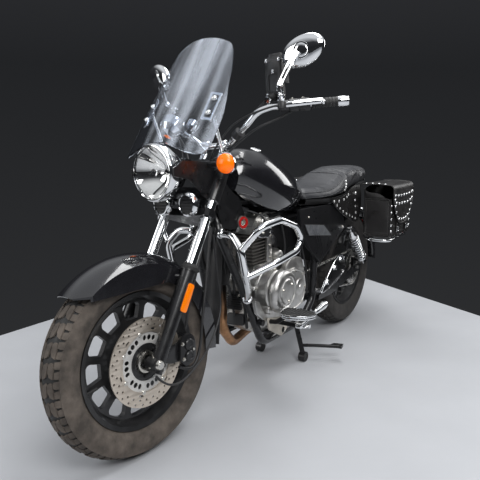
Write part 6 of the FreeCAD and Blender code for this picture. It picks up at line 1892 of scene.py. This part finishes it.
brake = [lathe(rod(132, 160, 10), 24, left_of(250, 268, 0)),
         sweep(route((250, 154, 268), (330, 176, 262), (384, 206, 320)), 6, 40, 5),
         cut_plate([box(26, 25, 9, (384, 215))], 8, 1.6, moved(0, 0, 322))]
brake_rubber = [cut_plate([box(21, 2.5, 2, (384, 196.5 + 10 * k))], 3, 0.8, moved(0, 0, 327))
                for k in range(5)]
gear_shaft = lathe(rod(132, 240, 9), 24, left_of(212, 274, 0))
add_piece("foot_arms", [both(*arms), gear_shaft], cover_black)
add_piece("foot_boards", [both(*boards), *gear, *gear_rings, flipped(merged(*brake))], chrome,
          "chassis", ["foot_controls"])
add_piece("foot_hangers", both(hanger), blasted)
add_piece("frame_lugs", both(lugs), cast_alloy)
add_piece("foot_rubbers", [both(*rubbers), flipped(merged(*brake_rubber))], grip_rubber)
add_piece("foot_bolts", both(on_spots(bolt, fixings, zinc, 1.2)), zinc)

# %% Passenger hangers
# Each is a leaf with a bright rim, a black centre and three bolts.
leaf = rounded([(-162, 297), (-236, 372), (-300, 420), (-352, 444), (-394, 438), (-422, 398),
                (-412, 352), (-330, 322), (-236, 300)], 14, 4)
rim = both(cut_plate([leaf, pushed(leaf, 6.5)], 9, 2.2, on_side(156)),
           lathe(rod(118.2, 152, 10), 24, left_of(-192, 304, 0)))
centre = cut_plate([pushed(leaf, 7)], 5, 0.6, on_side(156.6))
peg = lathe(rod(160, 180, 11), 24, left_of(-368, 404, 0))
peg_rings = [lathe([(162 + along, 10), (162.6 + along, 13), (165.6 + along, 13),
                    (166.4 + along, 10)], 28, left_of(-368, 404, 0)) for along in (0, 6, 12, 18)]
add_piece("leaf_rims", rim, chrome, "chassis", ["passenger_pegs"])
add_piece("leaf_centres", both(centre, peg), cover_black)
add_piece("passenger_rubbers", both(*peg_rings), grip_rubber)
leaf_bolts = facing_side(159, [(-302, 392), (-225, 338), (-366, 420)])
add_piece("leaf_bolts", both(on_spots(bolt, leaf_bolts, chrome, 2.4)), chrome)

# %% Rubber feet of the stand
stand_feet = [lathe([(-15, 8), (-15, 21), (-13, 21.8), (13, 21.8), (15, 21), (15, 8)], 28,
                    aim(mm(-90, y, 22), (0, 1, 0))) for y in (112, -112)]
add_piece("stand_feet", stand_feet, grip_rubber, "centre_stand")

# %% [markdown]
# ## Body trim
# What is left is small: the blank badge plate, the ignition lock with its red ring, the seat
# base, the cap of the tank, the mud flap, the rear lamps and the knobs of the holder.

# %% Badge plate, lock and seat base
dark_badge = finish("badge_face", (0.30, 0.31, 0.33), 0.38, 0.7, tone=0.2, tone_size=0.02)
badge = rounded([(-38, 626), (-240, 600), (-322, 537), (-78, 570)], 4, 2)
frames_badge = cut_plate([badge, pushed(badge, 9)], 3.2, 0.9, on_side(133))
face_badge = cut_plate([pushed(badge, 8)], 2.4, 0.3, on_side(132))
add_piece("badge_frames", both(frames_badge), satin_alloy)
lines = []
for k in range(9):
    share = (k + 0.5) / 9
    p = Vector((-62, 614)).lerp(Vector((-92, 578)), share)
    q = Vector((-232, 592)).lerp(Vector((-292, 546)), share)
    lines.append(cut_plate([[tuple(p), tuple(q), (q.x, q.y - 1.4), (p.x, p.y - 1.4)]], 1.2, 0.2,
                           on_side(133.4)))
add_piece("badge_faces", both(face_badge, *lines), dark_badge)
COVER_FACE = 131.4                # y of the side cover's outer face
ridges = [cord([mm(x, COVER_FACE, z) for x, z in ((0, 684), (-18, 606), (-60, 550), (-112, 496),
                                                  (-192, 438))], 2.0)]
ridges += [cord([mm(-128 - 26 * k, COVER_FACE, 590 - 10 * k), mm(-176 - 20 * k, COVER_FACE, 520),
                 mm(-206 - 14 * k, COVER_FACE, 452 + 4 * k)], 2.2) for k in range(3)]
add_piece("cover_ridges", both(*ridges), cover_black)
cover_bolts = facing_side(COVER_FACE, [(-440, 566), (-84, 650)])
add_piece("cover_bolts", both(on_spots(bolt, cover_bolts, zinc, 0.9)), zinc)

lock = aim(mm(322, 58.2, 672), (0.25, 1, 0.05))
add_piece("lock_ring", lathe([(0, 0), (0, 24), (3, 26), (8, 26), (10, 25), (10, 22), (6, 21),
                              (6, 0)], 36, lock), steel)
add_piece("lock_red_ring", lathe([(6, 13), (6, 22.4), (12, 22), (13.4, 18), (12, 13), (6, 13)], 36,
                                 lock), red_plastic)
add_piece("lock_barrel", lathe([(6, 0), (6, 13), (10, 12.6), (11, 9), (9, 8), (9, 4), (14, 3),
                                (14, 0)], 28, lock), zinc)


def base_shape(s, t):
    x = -168 - 700 * t
    half, top, low = between(RIDER if x > -540 else PILLION, x)
    a = math.pi * s
    return mm(x, (half - 8) * math.cos(a), low + 3 - 26 * min(1, 2.4 * math.sin(a)))


base_mesh, _ = surface(base_shape, 24, 60, 0.003)
add_piece("seat_base", base_mesh, black_plastic)

# %% Tank cap
cap_frame = aim(mm(150, 0, 908), (0.16, 0, 1))
cap_parts = [lathe([(20, 31.2), (21, 33), (24, 33.6), (27, 33), (28, 31.2)], 48, cap_frame),
             lathe([(32.6, 22), (33.6, 20), (34.6, 12), (35, 0)], 40, cap_frame)]
cap_flap = cut_plate([box(9, 5, 4)], 3, 0.8, cap_frame @ moved(0, 0, 36))
add_piece("cap_trim", [*cap_parts, cap_flap], chrome)

# %% Mud flap in front of the engine
# A narrow rubber strip shields the front of the engine and ends in a wider flap.
flap_path = [(392, 640), (414, 537), (430, 395), (462, 238)]


def flap_shape(s, t):
    k = min(2, int(3 * t))
    a, b = flap_path[k], flap_path[k + 1]
    u = 3 * t - k
    half = 24 + 6 * t + 34 * max(0, t - 0.6)
    return mm(a[0] + (b[0] - a[0]) * u - 8 * (2 * s - 1) ** 2, (2 * s - 1) * half,
              a[1] + (b[1] - a[1]) * u)


flap_mesh, _ = surface(flap_shape, 6, 36, 0.003)
edges = [cord([flap_shape(s, t / 8) for t in range(9)], 4.2) for s in (0, 1)]
add_piece("mud_flap", [flap_mesh, *edges], hose_rubber)

# %% Rear lamps
lens_line = rounded([(-966, 536), (-982, 560), (-1000, 586), (-1020, 592), (-1044, 586),
                     (-1058, 560), (-1052, 530), (-1006, 512), (-990, 500)], 9, 4)
lens = cut_plate([lens_line], 102, 7, on_side(0))
bezel = cut_plate([rounded([(-962, 534), (-990, 586), (-1004, 596), (-996, 596), (-976, 566),
                            (-958, 532)], 4)], 104, 2, on_side(0))
rear_bar = lathe(rod(-112, 112, 6), 24, aim(mm(-1016, 0, 548), (0, 1, 0)))
bowls_rear, domes_rear = [], []
for side in (1, -1):
    stand_rear = aim(mm(-1016, 140 * side, 548), (-1, 0, 0))
    bowls_rear.append(lathe([(-28, 0), (-26, 10), (-10, 28), (0, 32.6), (8, 33.8), (10, 33.8),
                             (10, 31), (4, 30), (4, 0)], 36, stand_rear))
    domes_rear.append(lathe([(5, 0), (5, 30.4), (14, 30), (23, 26), (29, 18), (31.4, 8), (32, 0)],
                            36, stand_rear))
add_piece("tail_lens", lens, red_plastic, "chassis", ["rear_lamps"])
add_piece("rear_chrome", [bezel, rear_bar, *bowls_rear], chrome)
add_piece("rear_indicator_lenses", domes_rear, amber)
bracket_bolts = [(mm(-1132.4, y, 440), (-1, 0, 0)) for y in (60, -60)]
add_piece("bracket_bolts", on_spots(bolt, bracket_bolts, zinc), zinc)

# %% Holder knobs
knobs = [lathe([(0, 0), (0, 6), (3, 7.4), (7, 6.6), (9, 3.6), (9.6, 0)], 24,
               aim(steer_turn @ mm(320, 216 + y, 1172 + z), steered(1, 0, 0)))
         for y, z in ((-26, 58), (26, 58), (0, 20), (26, -58), (-26, -58))]
knobs.append(lathe([(0, 0), (0, 11), (3, 12.4), (10, 12.4), (12, 10), (12, 0)], 28,
                   aim(steer_turn @ mm(342, 208, 1100), steered(1, 0, -0.4))))
add_piece("holder_knobs", knobs, chrome, "steering")
panel = cut_plate([box(30, 60, 8), box(20, 28, 6, (0, -18))], 4, 1.0,
                  steer_turn @ moved(321.5, 216, 1172) @ turned(90, "Y") @ turned(90, "Z"))
add_piece("holder_panel", panel, black_plastic, "steering")
